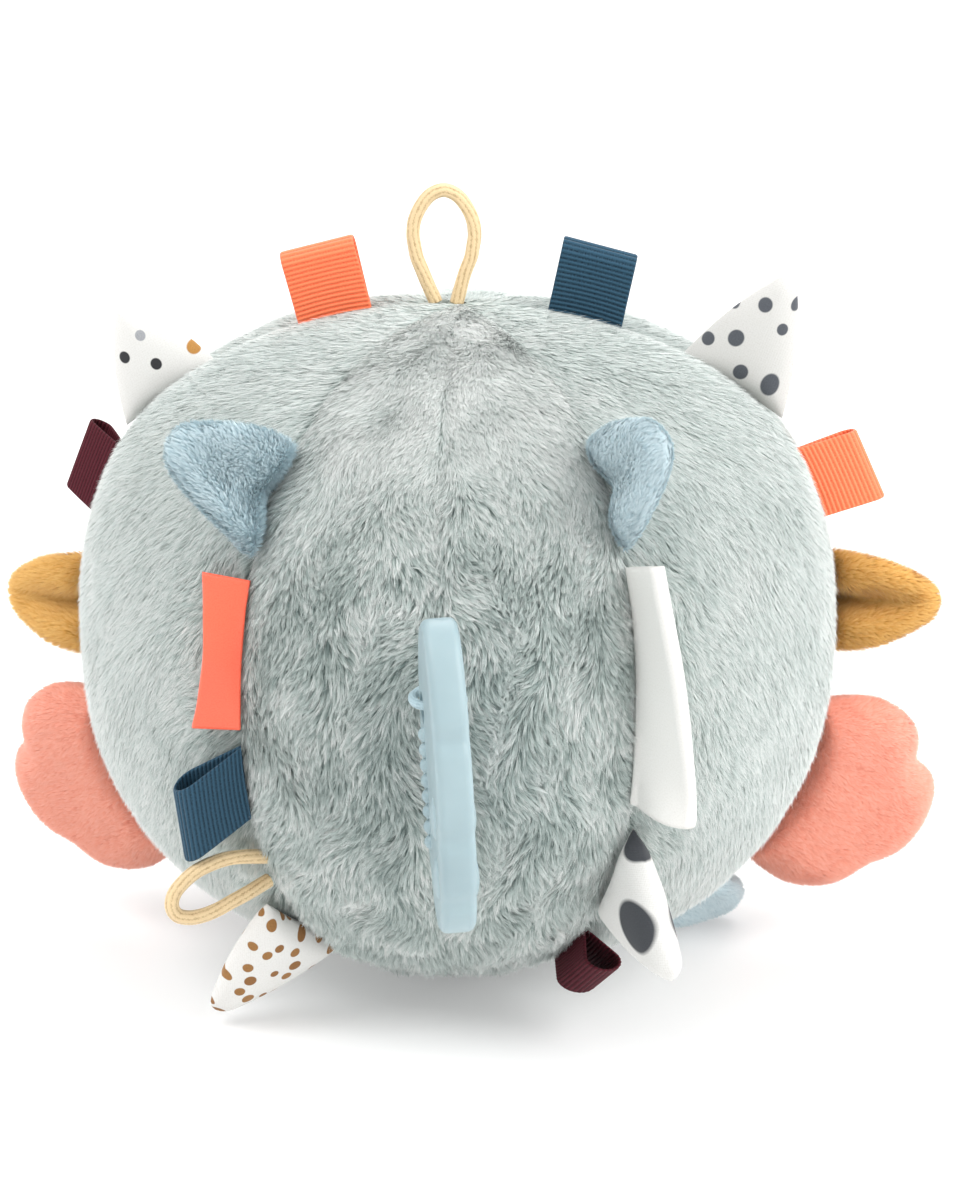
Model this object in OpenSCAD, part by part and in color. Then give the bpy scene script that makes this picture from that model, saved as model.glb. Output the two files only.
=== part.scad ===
// Plush sensory ball: sewn gores round a stuffed core with a rattle, and grab pieces sewn into its seams.
// The ball stands on its rest flat at the origin, +Z up, with the seam that carries the teether towards -Y.

/* [Ball] */
// Width of the plush ball over its gores
ball_w = 167; // [150:1:180]
// Height of the ball as it sits
ball_h = 146; // [138:1:160]
// How far each seam is drawn in between two gores
seam_dip = 3; // [1:0.5:5]
// Thickness of the plush cover, pile included
cover_t = 4; // [3:0.5:6]
// Open seam between two panels
seam_gap = 0.5; // [0.3:0.1:0.8]
// Depth of the flat that the ball rests on
rest_flat = 0.5; // [0.3:0.1:0.8]
// Radius of the hole that the panel tips leave at the crown
pole_r = 1.5; // [1:0.1:2.5]
// Radius of the round patch that closes the gores under the ball
patch_r = 9; // [7:0.5:9.5]
// Gap between a sewn-in piece and the plush that it is sewn to
seat_gap = 0.8; // [0.5:0.1:1]
// Gap between the stuffing and the cover
stuffing_gap = 1.2; // [0.9:0.1:1.6]

/* [Ribbon loops] */
// Width of the ribbon
ribbon_w = 16; // [10:0.5:20]
// Thickness of the ribbon
ribbon_t = 0.6; // [0.4:0.1:0.9]
// How far a flat loop stands out
ribbon_len = 13.5; // [11:0.5:16]
// Radius of a flat loop's fold
ribbon_fold_r = 2.2; // [1.6:0.1:3]
// How far the open loop low on the left stands out
open_ribbon_len = 14; // [12:0.5:16]
// Radius of that open loop's fold
open_ribbon_fold_r = 3.4; // [2.6:0.1:4]
// How far the short loop under the ball stands out
short_ribbon_len = 11; // [9.5:0.5:12]
// Radius of that short loop's fold
short_ribbon_fold_r = 3.6; // [2.8:0.1:4]

/* [Labels] */
// Length of the small flag label along its seam
flag_w = 31; // [24:1:36]
// How far the flag label stands out
flag_len = 7.5; // [6.5:0.5:9]
// Thickness of the flag label
flag_t = 0.9; // [0.6:0.1:1.2]
// Length of the folded label along its seam
label_w = 50; // [40:1:56]
// How far the folded label stands out
label_len = 12; // [10:0.5:15]
// Radius of the folded label's fold
label_fold_r = 1.5; // [1.3:0.1:2]

/* [Elastic loops] */
// Diameter of the elastic cord
cord_d = 3; // [2:0.1:3.4]

/* [Printed points] */
// Length of a printed point along its seam
point_w = 28; // [20:1:32]
// How far a printed point stands out
point_len = 23; // [18:1:26]
// Stuffed thickness of a printed point
point_t = 7; // [4:0.5:9]
// How far the long printed point low on the right stands out
long_point_len = 26; // [22:1:29]

/* [Ears] */
// Length of a plush ear along its seam
ear_w = 28; // [20:1:32]
// Length of the low ear along its seam
low_ear_w = 19; // [15:1:21]
// Length of a side ear along its seam
side_ear_w = 22; // [18:1:24]
// How far a side ear stands out
side_ear_len = 23; // [18:1:25]
// How far a plush ear stands out
ear_len = 26; // [20:1:29]
// Stuffed thickness of a plush ear
ear_t = 9; // [6:0.5:11]
// How far the two sides of an ear curl towards each other
ear_curl = 6; // [2:0.5:8]

/* [Feet] */
// Length of a foot along its seam
foot_w = 34; // [26:1:40]
// Width of a foot over its toes
foot_toe_w = 43; // [36:1:48]
// How far a foot stands out
foot_len = 37; // [32:1:40]
// Stuffed thickness of a foot
foot_t = 13; // [9:0.5:15]
// Depth of the notch between two toes
toe_notch = 4; // [2:0.5:5]

/* [Teether] */
// Height of the teether
teether_h = 62; // [54:1:66]
// Width of the teether, away from the ball
teether_w = 30; // [26:1:34]
// Thickness of the teether
teether_t = 7; // [6:0.5:8]
// Radius of the eye that the tie goes through
eye_r = 3.2; // [2.8:0.1:3.6]
// Distance of the eye from the teether's middle, towards the ball
eye_in = 6.5; // [5.5:0.1:7]
// Height of the eye above the teether's middle
eye_up = 12; // [9:0.5:14]
// Depth of the grooves between the lobes of the teether's edge
groove_d = 1.1; // [0.5:0.1:1.5]
// Half the width of those grooves
groove_half = 2; // [1.6:0.1:2.6]
// Radius of the chewing bumps
bump_r = 1.7; // [1.4:0.1:1.9]
// Spacing of the chewing bumps
bump_pitch = 3.1; // [2.9:0.1:3.3]
// Diameter of the tie that holds the teether
tie_d = 1.8; // [1.6:0.1:2.4]
// Gap between the tie and the side of the teether
tie_gap = 0.4; // [0.3:0.1:0.8]

/* [Rattle] */
// Outer radius of the rattle capsule
capsule_r = 18; // [14:0.5:22]
// Wall of the rattle capsule
capsule_wall = 1.6; // [1.2:0.1:2.4]
// Height of the lip where the capsule's halves snap together
lip_h = 2.4; // [1.5:0.1:3.5]
// Radius of the rattle ball
rattle_r = 6; // [4:0.5:8]
// Running gap between the rattle pieces
rattle_gap = 0.3; // [0.2:0.05:0.4]

/* [Hidden] */

// Seams run from pole to pole, named by their bearing from -Y towards +X
seam_back = 0;
seam_back_left = -30;
seam_back_right = 30;
seam_left = -90;
seam_right = 90;
seam_front_left = -150;
seam_front_right = 150;
seams = [seam_front_left, seam_left, seam_back_left, seam_back, seam_back_right, seam_right, seam_front_right,
  seam_front_left + 360];
gore_angle = 60;
// Fullness of the ball's meridian: 2 is an ellipse, more is squarer
full_top = 2.3;
full_bottom = 2.1;
// Sharpness of the dip at a seam
dip_power = 0.8;
ball_a = ball_w / 2;
ball_c = ball_h / 2;
centre_z = ball_c - rest_flat;
crown_angle = acos(pole_r / ball_c);
patch_angle = acos((patch_r + 2 * seam_gap) / ball_c);
// Cells of a panel along its seams, and across each degree of bearing
panel_rows = 20;
panel_cell = 7.5;

// Sides of an elastic cord and of the loft rings, and rings from root to tip
cord_sides = 8;
ring_sides = 16;
ring_count = 8;

fabric_sage = [0.72, 0.78, 0.76];
fabric_blue = [0.55, 0.68, 0.74];
fabric_mustard = [0.80, 0.64, 0.33];
fabric_pink = [0.95, 0.57, 0.50];
fabric_white = [0.95, 0.95, 0.94];
ribbon_orange = [1.0, 0.47, 0.30];
ribbon_navy = [0.12, 0.25, 0.36];
ribbon_maroon = [0.29, 0.12, 0.20];
cord_beige = [0.88, 0.75, 0.54];
silicone_blue = [0.70, 0.82, 0.87];

// Centre line of the elastic loop on the crown, both ends sewn into the side seam
top_loop_route = [
  [-6, 0, 146.2], [-7, 0, 148.5], [-8, 0, 151], [-9, 0, 153.5], [-9.5, 0, 156], [-9.8, 0, 158.5],
  [-9.4, 0, 161.5], [-8, 0, 164.5], [-6, 0, 166.8], [-3.3, 0, 167.8], [-0.6, 0, 166.8], [1.4, 0, 164.5],
  [2.8, 0, 161.5], [3.2, 0, 158.5], [2.9, 0, 156], [2.4, 0, 153.5], [1.4, 0, 151], [0.6, 0, 148.5], [0, 0, 146.2]
];
// Centre line of the elastic loop low on the back left seam
side_loop_route = [
  [-37, -65.5, 42.5], [-39.5, -67.2, 43], [-42.5, -68.5, 43], [-45.5, -69.7, 42.3], [-48.5, -70.8, 41],
  [-51, -71.8, 39], [-52.8, -72.5, 36.7], [-53.3, -72.8, 34.2], [-52.3, -72.5, 32.2], [-50, -71.7, 31.4],
  [-47.3, -70.7, 31.6], [-44.5, -69.6, 32.5], [-41.8, -68.5, 33.8], [-39, -67, 35], [-36.6, -65, 36]
];

// The plush surface

function bearing_in(b) = b < seams[0] ? b + 360 : b;
function seam_below(b) = max([for (i = [0 : len(seams) - 2]) if (seams[i] <= bearing_in(b) + 0.001) i]);
function gore_share(b) = let (i = seam_below(b)) (bearing_in(b) - seams[i]) / (seams[i + 1] - seams[i]);
function gore_width(b) = let (i = seam_below(b)) (seams[i + 1] - seams[i]) / gore_angle;
function dip(b) = seam_dip * (1 - pow(abs(sin(180 * gore_share(b))), dip_power) * sqrt(gore_width(b)));
function meridian(e) = let (n = e < 0 ? full_bottom : full_top)
  pow(pow(abs(cos(e)) / ball_a, n) + pow(abs(sin(e)) / ball_c, n), -1 / n);
// Distance of the plush from the ball's centre, at a bearing and an elevation
function plush_r(b, e) = meridian(e) - dip(b) * cos(e);
function heading(b, e) = [cos(e) * sin(b), -cos(e) * cos(b), sin(e)];
function centre() = [0, 0, centre_z];
function plush(b, e, extra = 0) = centre() + (plush_r(b, e) + extra) * heading(b, e);
function on_floor(p) = [p.x, p.y, max(0, p.z)];
function bearing(p) = atan2(p.x, -p.y);
function elevation(p) = atan2(p.z - centre_z, norm([p.x, p.y]));
// The point of the plush, raised by the seat gap, that lies in the same direction as p
function seated(p) = plush(bearing(p), elevation(p), seat_gap);

// A seam's own frame at an elevation: across the seam, along it and out of the ball
probe = 0.5;
function across(b) = [cos(b), sin(b), 0];
function along(b, e) = let (d = plush(b, e + probe) - plush(b, e - probe)) d / norm(d);
function outward(b, e) = cross(across(b), along(b, e));
// A point of a flap in the seam's frame, leaned over sideways and swept along the seam
function leaned(v, lean) = [v.x * cos(lean) + v.z * sin(lean), v.y, v.z * cos(lean) - v.x * sin(lean)];
function swept(v, sweep) = [v.x, v.y * cos(sweep) + v.z * sin(sweep), v.z * cos(sweep) - v.y * sin(sweep)];
function from_seam(v, b, e, lean, sweep) = let (w = leaned(swept(v, sweep), lean))
  plush(b, e, seat_gap) + w.x * across(b) + w.y * along(b, e) + w.z * outward(b, e);

// The same for a solid, whose root stays along the seam where it stands out of it obliquely
module on_seam(b, e, lean = 0, sweep = 0) {
  o = plush(b, e, seat_gap);
  x = across(b);
  y = along(b, e);
  z = outward(b, e);
  multmatrix([[x.x, y.x, z.x, o.x], [x.y, y.y, z.y, o.y], [x.z, y.z, z.z, o.z], [0, 0, 0, 1]])
    rotate([0, lean, 0]) multmatrix([[1, 0, 0, 0], [0, 1, sin(sweep), 0], [0, 0, cos(sweep), 0]]) children();
}

// The sewn panels of the cover

function seam_inset(b, e, extra) = seam_gap / 2 / ((plush_r(b, e) + extra) * cos(e)) * 180 / PI;
function panel_grid(from, to, columns, extra) = [
  for (j = [0 : panel_rows])
    let (e = -patch_angle + (crown_angle + patch_angle) * j / panel_rows)
    let (start = from + seam_inset(from, e, 0), span = to - seam_inset(to, e, 0) - start)
    for (i = [0 : columns]) plush(start + span * i / columns, e, extra)
];
function cell(a, b, c, d) = [[a, b, c], [a, c, d]];
function flat_list(lists) = [for (l = lists) each l];

// A panel is one gore of plush, between two seams given by their bearings
module panel(from, to) {
  columns = round((to - from) / panel_cell);
  row = columns + 1;
  count = row * (panel_rows + 1);
  outer = [for (p = panel_grid(from, to, columns, 0)) on_floor(p)];
  inner = panel_grid(from, to, columns, -cover_t);
  last = panel_rows * row;
  faces = flat_list([
    for (j = [0 : panel_rows - 1], i = [0 : columns - 1])
      let (o = j * row + i) cell(o, o + row, o + row + 1, o + 1),
    for (j = [0 : panel_rows - 1], i = [0 : columns - 1])
      let (n = count + j * row + i) cell(n + 1, n + row + 1, n + row, n),
    for (j = [0 : panel_rows - 1])
      let (o = j * row) cell(count + o, count + o + row, o + row, o),
    for (j = [0 : panel_rows - 1])
      let (o = j * row + columns) cell(o, o + row, count + o + row, count + o),
    for (i = [0 : columns - 1]) cell(i, i + 1, count + i + 1, count + i),
    for (i = [0 : columns - 1])
      let (o = last + i) cell(o + 1, o, count + o, count + o + 1)
  ]);
  color(fabric_sage) polyhedron(concat(outer, inner), faces);
}

// The patch that closes the gores under the ball, flat where the ball rests
module bottom_patch() {
  color(fabric_sage) cylinder(r = patch_r, h = cover_t - rest_flat, $fn = 48);
}

// Stuffing and rattle

stuffing_columns = 32;
stuffing_rows = 16;
stuffing_inset = cover_t + stuffing_gap;

module stuffing_ball() {
  rings = [
    for (j = [1 : stuffing_rows - 1])
      [for (i = [0 : stuffing_columns - 1])
        plush(360 * i / stuffing_columns - 180, -90 + 180 * j / stuffing_rows, -stuffing_inset)]
  ];
  poles = [plush(0, -90, -stuffing_inset), plush(0, 90, -stuffing_inset)];
  last = (stuffing_rows - 1) * stuffing_columns;
  turn = function(i) (i + 1) % stuffing_columns;
  faces = flat_list([
    for (j = [0 : stuffing_rows - 3], i = [0 : stuffing_columns - 1])
      let (k = j * stuffing_columns)
      cell(k + i, k + stuffing_columns + i, k + stuffing_columns + turn(i), k + turn(i)),
    for (i = [0 : stuffing_columns - 1]) [[last, i, turn(i)]],
    for (i = [0 : stuffing_columns - 1])
      let (k = last - stuffing_columns) [[last + 1, k + turn(i), k + i]]
  ]);
  polyhedron(concat(flat_list(rings), poles), faces);
}

// One half of the stuffing, packed round the rattle capsule: side is -1 below and 1 above
module stuffing_half(side) {
  color(fabric_white) difference() {
    intersection() {
      stuffing_ball();
      translate([0, 0, centre_z + side * (ball_h + seat_gap) / 2]) cube([2 * ball_w, 2 * ball_w, ball_h], center = true);
    }
    translate(centre()) sphere(r = capsule_r + rattle_gap, $fn = 64);
  }
}

module capsule_half(outer_lip) {
  lip_t = (capsule_wall - rattle_gap / 2) / 2;
  lip_from = outer_lip ? capsule_r - lip_t : capsule_r - capsule_wall;
  color(fabric_white) translate(centre()) rotate([outer_lip ? 180 : 0, 0, 0]) rotate_extrude($fn = 96) {
    difference() {
      circle(r = capsule_r, $fn = 96);
      circle(r = capsule_r - capsule_wall, $fn = 96);
      translate([-2 * capsule_r, -2 * capsule_r]) square([2 * capsule_r, 4 * capsule_r]);
      translate([0, -lip_h / 2]) square([2 * capsule_r, 2 * capsule_r]);
    }
    translate([lip_from, -lip_h]) square([lip_t, 1.5 * lip_h]);
  }
}

module rattle_ball() {
  drop = capsule_r - capsule_wall - rattle_r - rattle_gap;
  color(cord_beige) translate(centre() - [0, 0, drop]) sphere(r = rattle_r, $fn = 48);
}

// Sewn-in flaps: lofted from a thin sewn root, over a stuffed middle, to a thin sewn edge

root_t = 1.2;

function loft_faces(rings, sides) = let (half = sides / 2, top = (rings - 1) * sides) flat_list([
  for (k = [0 : rings - 2], i = [0 : sides - 1])
    let (a = k * sides + i, b = k * sides + (i + 1) % sides) cell(a, a + sides, b + sides, b),
  for (k = [0 : half - 1]) cap(k, sides, 0, false),
  for (k = [0 : half - 1]) cap(k, sides, top, true)
]);
// A strip of an end cap, between the two sides of the ring at one height along the seam
function cap(k, sides, start, reversed) =
  let (ring = [k, k + 1, sides - k - 1, (sides - k) % sides])
  let (pts = k == 0 ? [ring[0], ring[1], ring[2]] : ring[1] == ring[2] ? [ring[0], ring[1], ring[3]] : ring)
  let (order = [for (p = pts) start + p])
  let (turned = reversed ? [for (i = [len(order) - 1 : -1 : 0]) order[i]] : order)
  len(turned) == 3 ? [turned] : cell(turned[0], turned[1], turned[2], turned[3]);

// Rings crowd towards the tip, where the edge turns fastest
function ring_at(k) = sin(90 * k / (ring_count - 1));
function signed_pow(v, n) = sign(v) * pow(abs(v), n);
function stuffed(f, thick) = root_t / 2 + (thick - root_t) / 2 * sin(180 * pow(f, 0.8));

// half_w and length give the outline, thick the stuffing, curl the cupping and square the ends of each ring
module flap(b, e, lean, sweep, half_w, reach, thick, curl = 0, square = 1) {
  rings = [
    for (k = [0 : ring_count - 1])
      let (f = ring_at(k))
      [for (i = [0 : ring_sides - 1])
        let (angle = 360 * i / ring_sides - 90, y = half_w(f) * signed_pow(sin(angle), square))
        let (x = stuffed(f, thick) * signed_pow(cos(angle), square) + curl * pow(sin(angle), 2) * sin(180 * f))
        let (p = from_seam([x, y, reach(f, y)], b, e, lean, sweep))
        k == 0 ? seated(from_seam([x, y, 0], b, e, 0, 0)) : p]
  ];
  polyhedron(flat_list(rings), loft_faces(ring_count, ring_sides));
}

// A pointed flap with a round tip
tip_start = 1.15;
tip_round = 0.8;
module pointed(b, e, lean, sweep, width, length, thick, curl = 0) {
  tip_half = 0.6;
  flap(b, e, lean, sweep,
    function(f) max(tip_half, width / 2 * pow(1 - pow(f, tip_start), tip_round)),
    function(f, y) f * length, thick, curl);
}

// A foot: three round toes along its outer edge
toes = 3;
// How far the outer corners of a foot are drawn back, as a share of its length
toe_corner = 0.3;
module foot(b, e, lean, sweep) {
  color(fabric_pink) flap(b, e, lean, sweep,
    function(f) foot_w / 2 + (foot_toe_w - foot_w) / 2 * sin(90 * min(1, 1.4 * f)),
    function(f, y) f * (foot_len - toe_notch * pow(cos(90 * toes * (1 + 2 * y / foot_toe_w)), 2)
      - toe_corner * foot_len * pow(abs(2 * y / foot_toe_w), 3)),
    foot_t);
}

// Ribbon loops: a tape folded over, with both ends sewn into the seam

// Where a line from a point on the root touches the fold
function touch(root, middle, r) =
  let (d = norm([root, middle]), angle = atan2(middle, -root) - asin(r / d), run = sqrt(d * d - r * r))
  [root + run * cos(angle), run * sin(angle)];
module drop(root, base, middle, r) {
  t = touch(root, middle - base, r) + [0, base];
  translate([0, middle]) circle(r = r, $fn = 48);
  polygon([[-root, base], [root, base], t, [0, middle], [-t.x, t.y]]);
}
module folded_tape(width, length, fold_r, tape_t) {
  rotate([90, 0, 0]) linear_extrude(width, center = true) difference() {
    drop(tape_t, 0, length - fold_r, fold_r);
    drop(tape_t / 8, 2 * tape_t, length - fold_r, fold_r - tape_t);
  }
}
module flat_ribbon(b, e, lean, sweep, tint) {
  color(tint) on_seam(b, e, lean, sweep) folded_tape(ribbon_w, ribbon_len, ribbon_fold_r, ribbon_t);
}
module open_ribbon(b, e, lean, sweep, tint) {
  color(tint) on_seam(b, e, lean, sweep) folded_tape(ribbon_w, open_ribbon_len, open_ribbon_fold_r, ribbon_t);
}
module short_ribbon(b, e, lean, sweep, tint) {
  color(tint) on_seam(b, e, lean, sweep) folded_tape(ribbon_w, short_ribbon_len, short_ribbon_fold_r, ribbon_t);
}

// Labels

module flag_label() {
  color(ribbon_orange) flap(seam_back_left, 9.5, -66, 0, function(f) flag_w / 2, function(f, y) f * flag_len,
    flag_t, 0, 0.35);
}
// The folded label follows its seam, and leans over further towards its lower end
label_e = 5.5;
label_lean_top = 0;
label_lean_bottom = 42;
label_stations = 10;
label_arc = 8;
function loop_profile(root, base, middle, r) =
  let (t = touch(root, middle, r), from = atan2(t.y - middle, t.x))
  concat([[root, base]],
    [for (k = [0 : label_arc]) let (a = from + (180 - 2 * from) * k / label_arc) [r * cos(a), middle + r * sin(a)]],
    [[-root, base]]);
module folded_label() {
  middle = label_len - label_fold_r;
  outer = loop_profile(ribbon_t, 0, middle, label_fold_r);
  inner = loop_profile(ribbon_t / 8, 2 * ribbon_t, middle, label_fold_r - ribbon_t);
  sides = len(outer);
  half = label_w / 2 / plush_r(seam_back_right, label_e) * 180 / PI;
  place = function(p, k)
    let (f = k / label_stations, lean = label_lean_bottom + (label_lean_top - label_lean_bottom) * f)
    from_seam([p.x, 0, p.y], seam_back_right, label_e - half + 2 * half * f, lean, 0);
  points = [for (k = [0 : label_stations]) each [for (p = concat(outer, inner)) place(p, k)]];
  row = 2 * sides;
  top = label_stations * row;
  faces = flat_list([
    for (k = [0 : label_stations - 1], i = [0 : sides - 1])
      let (a = k * row + i, b = k * row + (i + 1) % sides) cell(a, b, b + row, a + row),
    for (k = [0 : label_stations - 1], i = [0 : sides - 1])
      let (a = k * row + sides + i, b = k * row + sides + (i + 1) % sides) cell(a, a + row, b + row, b),
    for (i = [0 : sides - 1]) let (b = (i + 1) % sides) cell(i, sides + i, sides + b, b),
    for (i = [0 : sides - 1]) let (b = (i + 1) % sides) cell(top + b, top + sides + b, top + sides + i, top + i)
  ]);
  color(fabric_white) polyhedron(points, faces);
}

// Cords

// A round cord swept along a route of points
module cord(route, d) {
  last = len(route) - 1;
  heading = function(k) let (v = route[min(k + 1, last)] - route[max(k - 1, 0)]) v / norm(v);
  middle = route[floor(last / 2)];
  plane = cross(route[last] - route[0], middle - route[0]);
  side = plane / norm(plane);
  points = [
    for (k = [0 : last])
      let (n = cross(side, heading(k)), u = n / norm(n), w = cross(heading(k), u))
      for (i = [0 : cord_sides - 1])
        let (t = 360 * i / cord_sides - 90) route[k] + d / 2 * (cos(t) * u + sin(t) * w)
  ];
  polyhedron(points, loft_faces(last + 1, cord_sides));
}

// The teether, a silicone plate that hangs edge-on from its tie

teether_yaw = 10;
teether_roll = 3;
teether_tie_e = 8;
// The tie's own frame: its root is on the back seam, x across, y out of the ball
module at_tie() {
  translate(plush(seam_back, teether_tie_e, seat_gap)) rotate([0, 0, teether_yaw]) children();
}
tie_half = teether_t / 2 + tie_gap + tie_d / 2;
// Least gap between the plush and the inner edge of the teether
teether_clear = 5;
eye_out = teether_clear + teether_w / 2 - eye_in;
module teether_tie() {
  half = [
    [0.24, 0.05], [0.45, 0.16], [0.72, 0.3], [0.92, 0.45], [1, 0.6], [0.97, 0.76], [0.82, 0.9], [0.55, 0.98],
    [0.25, 1]
  ];
  left = [for (p = half) [-p.x * tie_half, -p.y * eye_out, 0]];
  right = [for (i = [len(half) - 1 : -1 : 0]) [half[i].x * tie_half, -half[i].y * eye_out, 0]];
  color(silicone_blue) at_tie() cord(concat(left, right), tie_d);
}

teether_points = 120;
edge_round = 2;
// Heights of the grooves between the four lobes, as shares of the teether's height above its middle
lobe_grooves = [0.182, -0.127, -0.356];
function groove(z, k) = exp(-pow((z - lobe_grooves[k] * teether_h) / groove_half, 2));
function teether_edge(angle, inset) =
  let (z = teether_h / 2 * sin(angle), drawn = groove_d * (groove(z, 0) + groove(z, 1) + groove(z, 2)))
  [(teether_w / 2 - drawn - inset) * cos(angle), (teether_h / 2 - inset) * sin(angle)];
// The rounded plate: rings of the outline from one face to the other, drawn in towards each face
module teether_plate() {
  steps = [for (s = [-90 : 30 : 90]) s];
  rings = [
    for (s = steps)
      let (x = sign(s) * (teether_t / 2 - edge_round) + edge_round * sin(s), inset = edge_round * (1 - cos(s)))
      for (i = [0 : teether_points - 1])
        let (p = teether_edge(360 * i / teether_points - 90, inset)) [x, p.x, p.y]
  ];
  polyhedron(rings, loft_faces(len(steps), teether_points));
}
// A row of bumps on each face, with two low ridges beside it
bumps = 8;
bump_out = 0.62;
bump_edge = 0.2;
ridge_edge = 0.2;
bump_low = 4;
ridge_levels = [-6, -18];
module bump(face, y, z, size) {
  translate([face * (teether_t / 2 - (1 - bump_out) * size.x), -y, z]) scale(size) sphere(r = 1, $fn = 24);
}
module teether() {
  color(silicone_blue) at_tie() translate([0, -eye_out, 0]) rotate([0, -teether_roll, 0])
    translate([0, -eye_in, -eye_up]) {
      difference() {
        teether_plate();
        translate([0, eye_in, eye_up]) rotate([0, 90, 0]) cylinder(r = eye_r, h = 2 * teether_t, center = true, $fn = 48);
      }
      for (face = [-1, 1]) {
        for (k = [0 : bumps - 1])
          bump(face, -bump_edge * teether_w, (k - (bumps - 1) / 2) * bump_pitch - bump_low, bump_r * [1.1, 1, 1]);
        for (z = ridge_levels) bump(face, ridge_edge * teether_w, z, bump_r * [0.9, 1.9, 2.7]);
      }
    }
}

panel(seam_back_left, seam_back);  // panel_back_left
panel(seam_back, seam_back_right);  // panel_back_right
panel(seam_back_right, seam_right);  // panel_right_rear
panel(seam_right, seam_front_right);  // panel_right_front
panel(seam_front_right, seam_front_left + 360);  // panel_front
panel(seam_front_left, seam_left);  // panel_left_front
panel(seam_left, seam_back_left);  // panel_left_rear
bottom_patch();
stuffing_half(-1);  // stuffing_lower
stuffing_half(1);  // stuffing_upper
capsule_half(false);  // capsule_lower
capsule_half(true);  // capsule_upper
rattle_ball();
color(cord_beige) cord(top_loop_route, cord_d);  // elastic_loop_top
color(cord_beige) cord(side_loop_route, cord_d);  // elastic_loop_side
flat_ribbon(seam_left, 69, 0, 0, ribbon_orange);  // ribbon_top_left
flat_ribbon(seam_right, 69, 0, 0, ribbon_navy);  // ribbon_top_right
flat_ribbon(seam_left, 24, -55, 0, ribbon_maroon);  // ribbon_left
flat_ribbon(seam_right, 25, 20, -5, ribbon_orange);  // ribbon_right
open_ribbon(seam_back_left, -10, -52, -28, ribbon_navy);  // ribbon_back_left
short_ribbon(seam_back_right, -47, -5, 35, ribbon_maroon);  // ribbon_bottom
flag_label();
folded_label();
color(fabric_white) pointed(seam_left, 40, 0, 16, point_w, point_len, point_t);  // point_top_left
color(fabric_white) pointed(seam_right, 41, 0, 20, point_w, point_len, point_t);  // point_top_right
color(fabric_white) pointed(seam_back_left, -40, -40, -15, point_w, long_point_len, point_t);  // point_low_left
color(fabric_white) pointed(seam_back_right, -25, 0, -2, point_w, long_point_len, point_t);  // point_low_right
color(fabric_blue) pointed(seam_back_left, 34, -20, 4, ear_w, ear_len, ear_t, ear_curl);  // ear_back_left
color(fabric_blue) pointed(seam_back_right, 35, 2, 0, ear_w, ear_len, ear_t, -ear_curl);  // ear_back_right
color(fabric_blue) pointed(seam_right, -52, 55, 12, low_ear_w, ear_len, ear_t, -ear_curl / 2);  // ear_low_front
color(fabric_mustard) pointed(seam_left, 3, -33, -4, side_ear_w, side_ear_len, ear_t, ear_curl);  // ear_left
color(fabric_mustard) pointed(seam_right, 4, 0, -4, side_ear_w, side_ear_len, ear_t, -ear_curl);  // ear_right
foot(seam_left, -26.5, -35, 14);  // foot_left
foot(seam_right, -26.5, 25, 14);  // foot_right
teether_tie();
teether();
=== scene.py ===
import math

import bpy
import numpy as np
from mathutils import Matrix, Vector, kdtree


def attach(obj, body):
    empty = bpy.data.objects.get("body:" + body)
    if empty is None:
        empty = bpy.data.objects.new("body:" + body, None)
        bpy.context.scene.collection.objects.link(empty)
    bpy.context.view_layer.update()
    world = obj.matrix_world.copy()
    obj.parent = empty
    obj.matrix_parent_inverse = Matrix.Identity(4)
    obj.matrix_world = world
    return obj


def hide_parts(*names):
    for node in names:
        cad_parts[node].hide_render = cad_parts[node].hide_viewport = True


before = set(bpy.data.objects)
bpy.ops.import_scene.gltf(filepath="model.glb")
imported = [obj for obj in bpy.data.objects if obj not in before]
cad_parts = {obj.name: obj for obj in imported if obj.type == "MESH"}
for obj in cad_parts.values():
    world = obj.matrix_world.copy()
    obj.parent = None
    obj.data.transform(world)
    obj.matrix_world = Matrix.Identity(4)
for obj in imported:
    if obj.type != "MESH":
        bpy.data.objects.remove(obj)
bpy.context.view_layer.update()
bpy.ops.object.select_all(action="DESELECT")
scene = bpy.context.scene

# Sizes in millimetres, as in the solids; meshes are written in metres
MM = 0.001
BALL_W = 167.0
BALL_H = 146.0
SEAM_DIP = 3.0
SEAM_GAP = 0.5
SEAT_GAP = 0.8
REST_FLAT = 0.5
POLE_R = 1.5
FULL_TOP = 2.3
FULL_BOTTOM = 2.1
DIP_POWER = 0.8
GORE_ANGLE = 60.0
SEAMS = np.array([-150.0, -90.0, -30.0, 0.0, 30.0, 90.0, 150.0, 210.0])
HALF_W = BALL_W / 2
HALF_H = BALL_H / 2
CENTRE_Z = HALF_H - REST_FLAT
CENTRE = np.array([0.0, 0.0, CENTRE_Z])
PATCH_R = 9.0
CROWN_ANGLE = math.degrees(math.acos(POLE_R / HALF_H))
PATCH_ANGLE = math.degrees(math.acos((PATCH_R + 2 * SEAM_GAP) / HALF_H))


# The plush surface, by bearing from -Y towards +X and elevation from the ball's centre, in degrees


def dip(bearing):
    b = np.where(bearing < SEAMS[0], bearing + 360, bearing)
    i = np.clip(np.searchsorted(SEAMS, b + 0.0001, side="right") - 1, 0, len(SEAMS) - 2)
    width = SEAMS[i + 1] - SEAMS[i]
    share = np.clip((b - SEAMS[i]) / width, 0, 1)
    return SEAM_DIP * (1 - np.abs(np.sin(np.pi * share)) ** DIP_POWER * np.sqrt(width / GORE_ANGLE))


def plush_r(bearing, elevation):
    n = np.where(elevation < 0, FULL_BOTTOM, FULL_TOP)
    e = np.radians(elevation)
    meridian = ((np.abs(np.cos(e)) / HALF_W) ** n + (np.abs(np.sin(e)) / HALF_H) ** n) ** (-1 / n)
    return meridian - dip(bearing) * np.cos(e)


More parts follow.
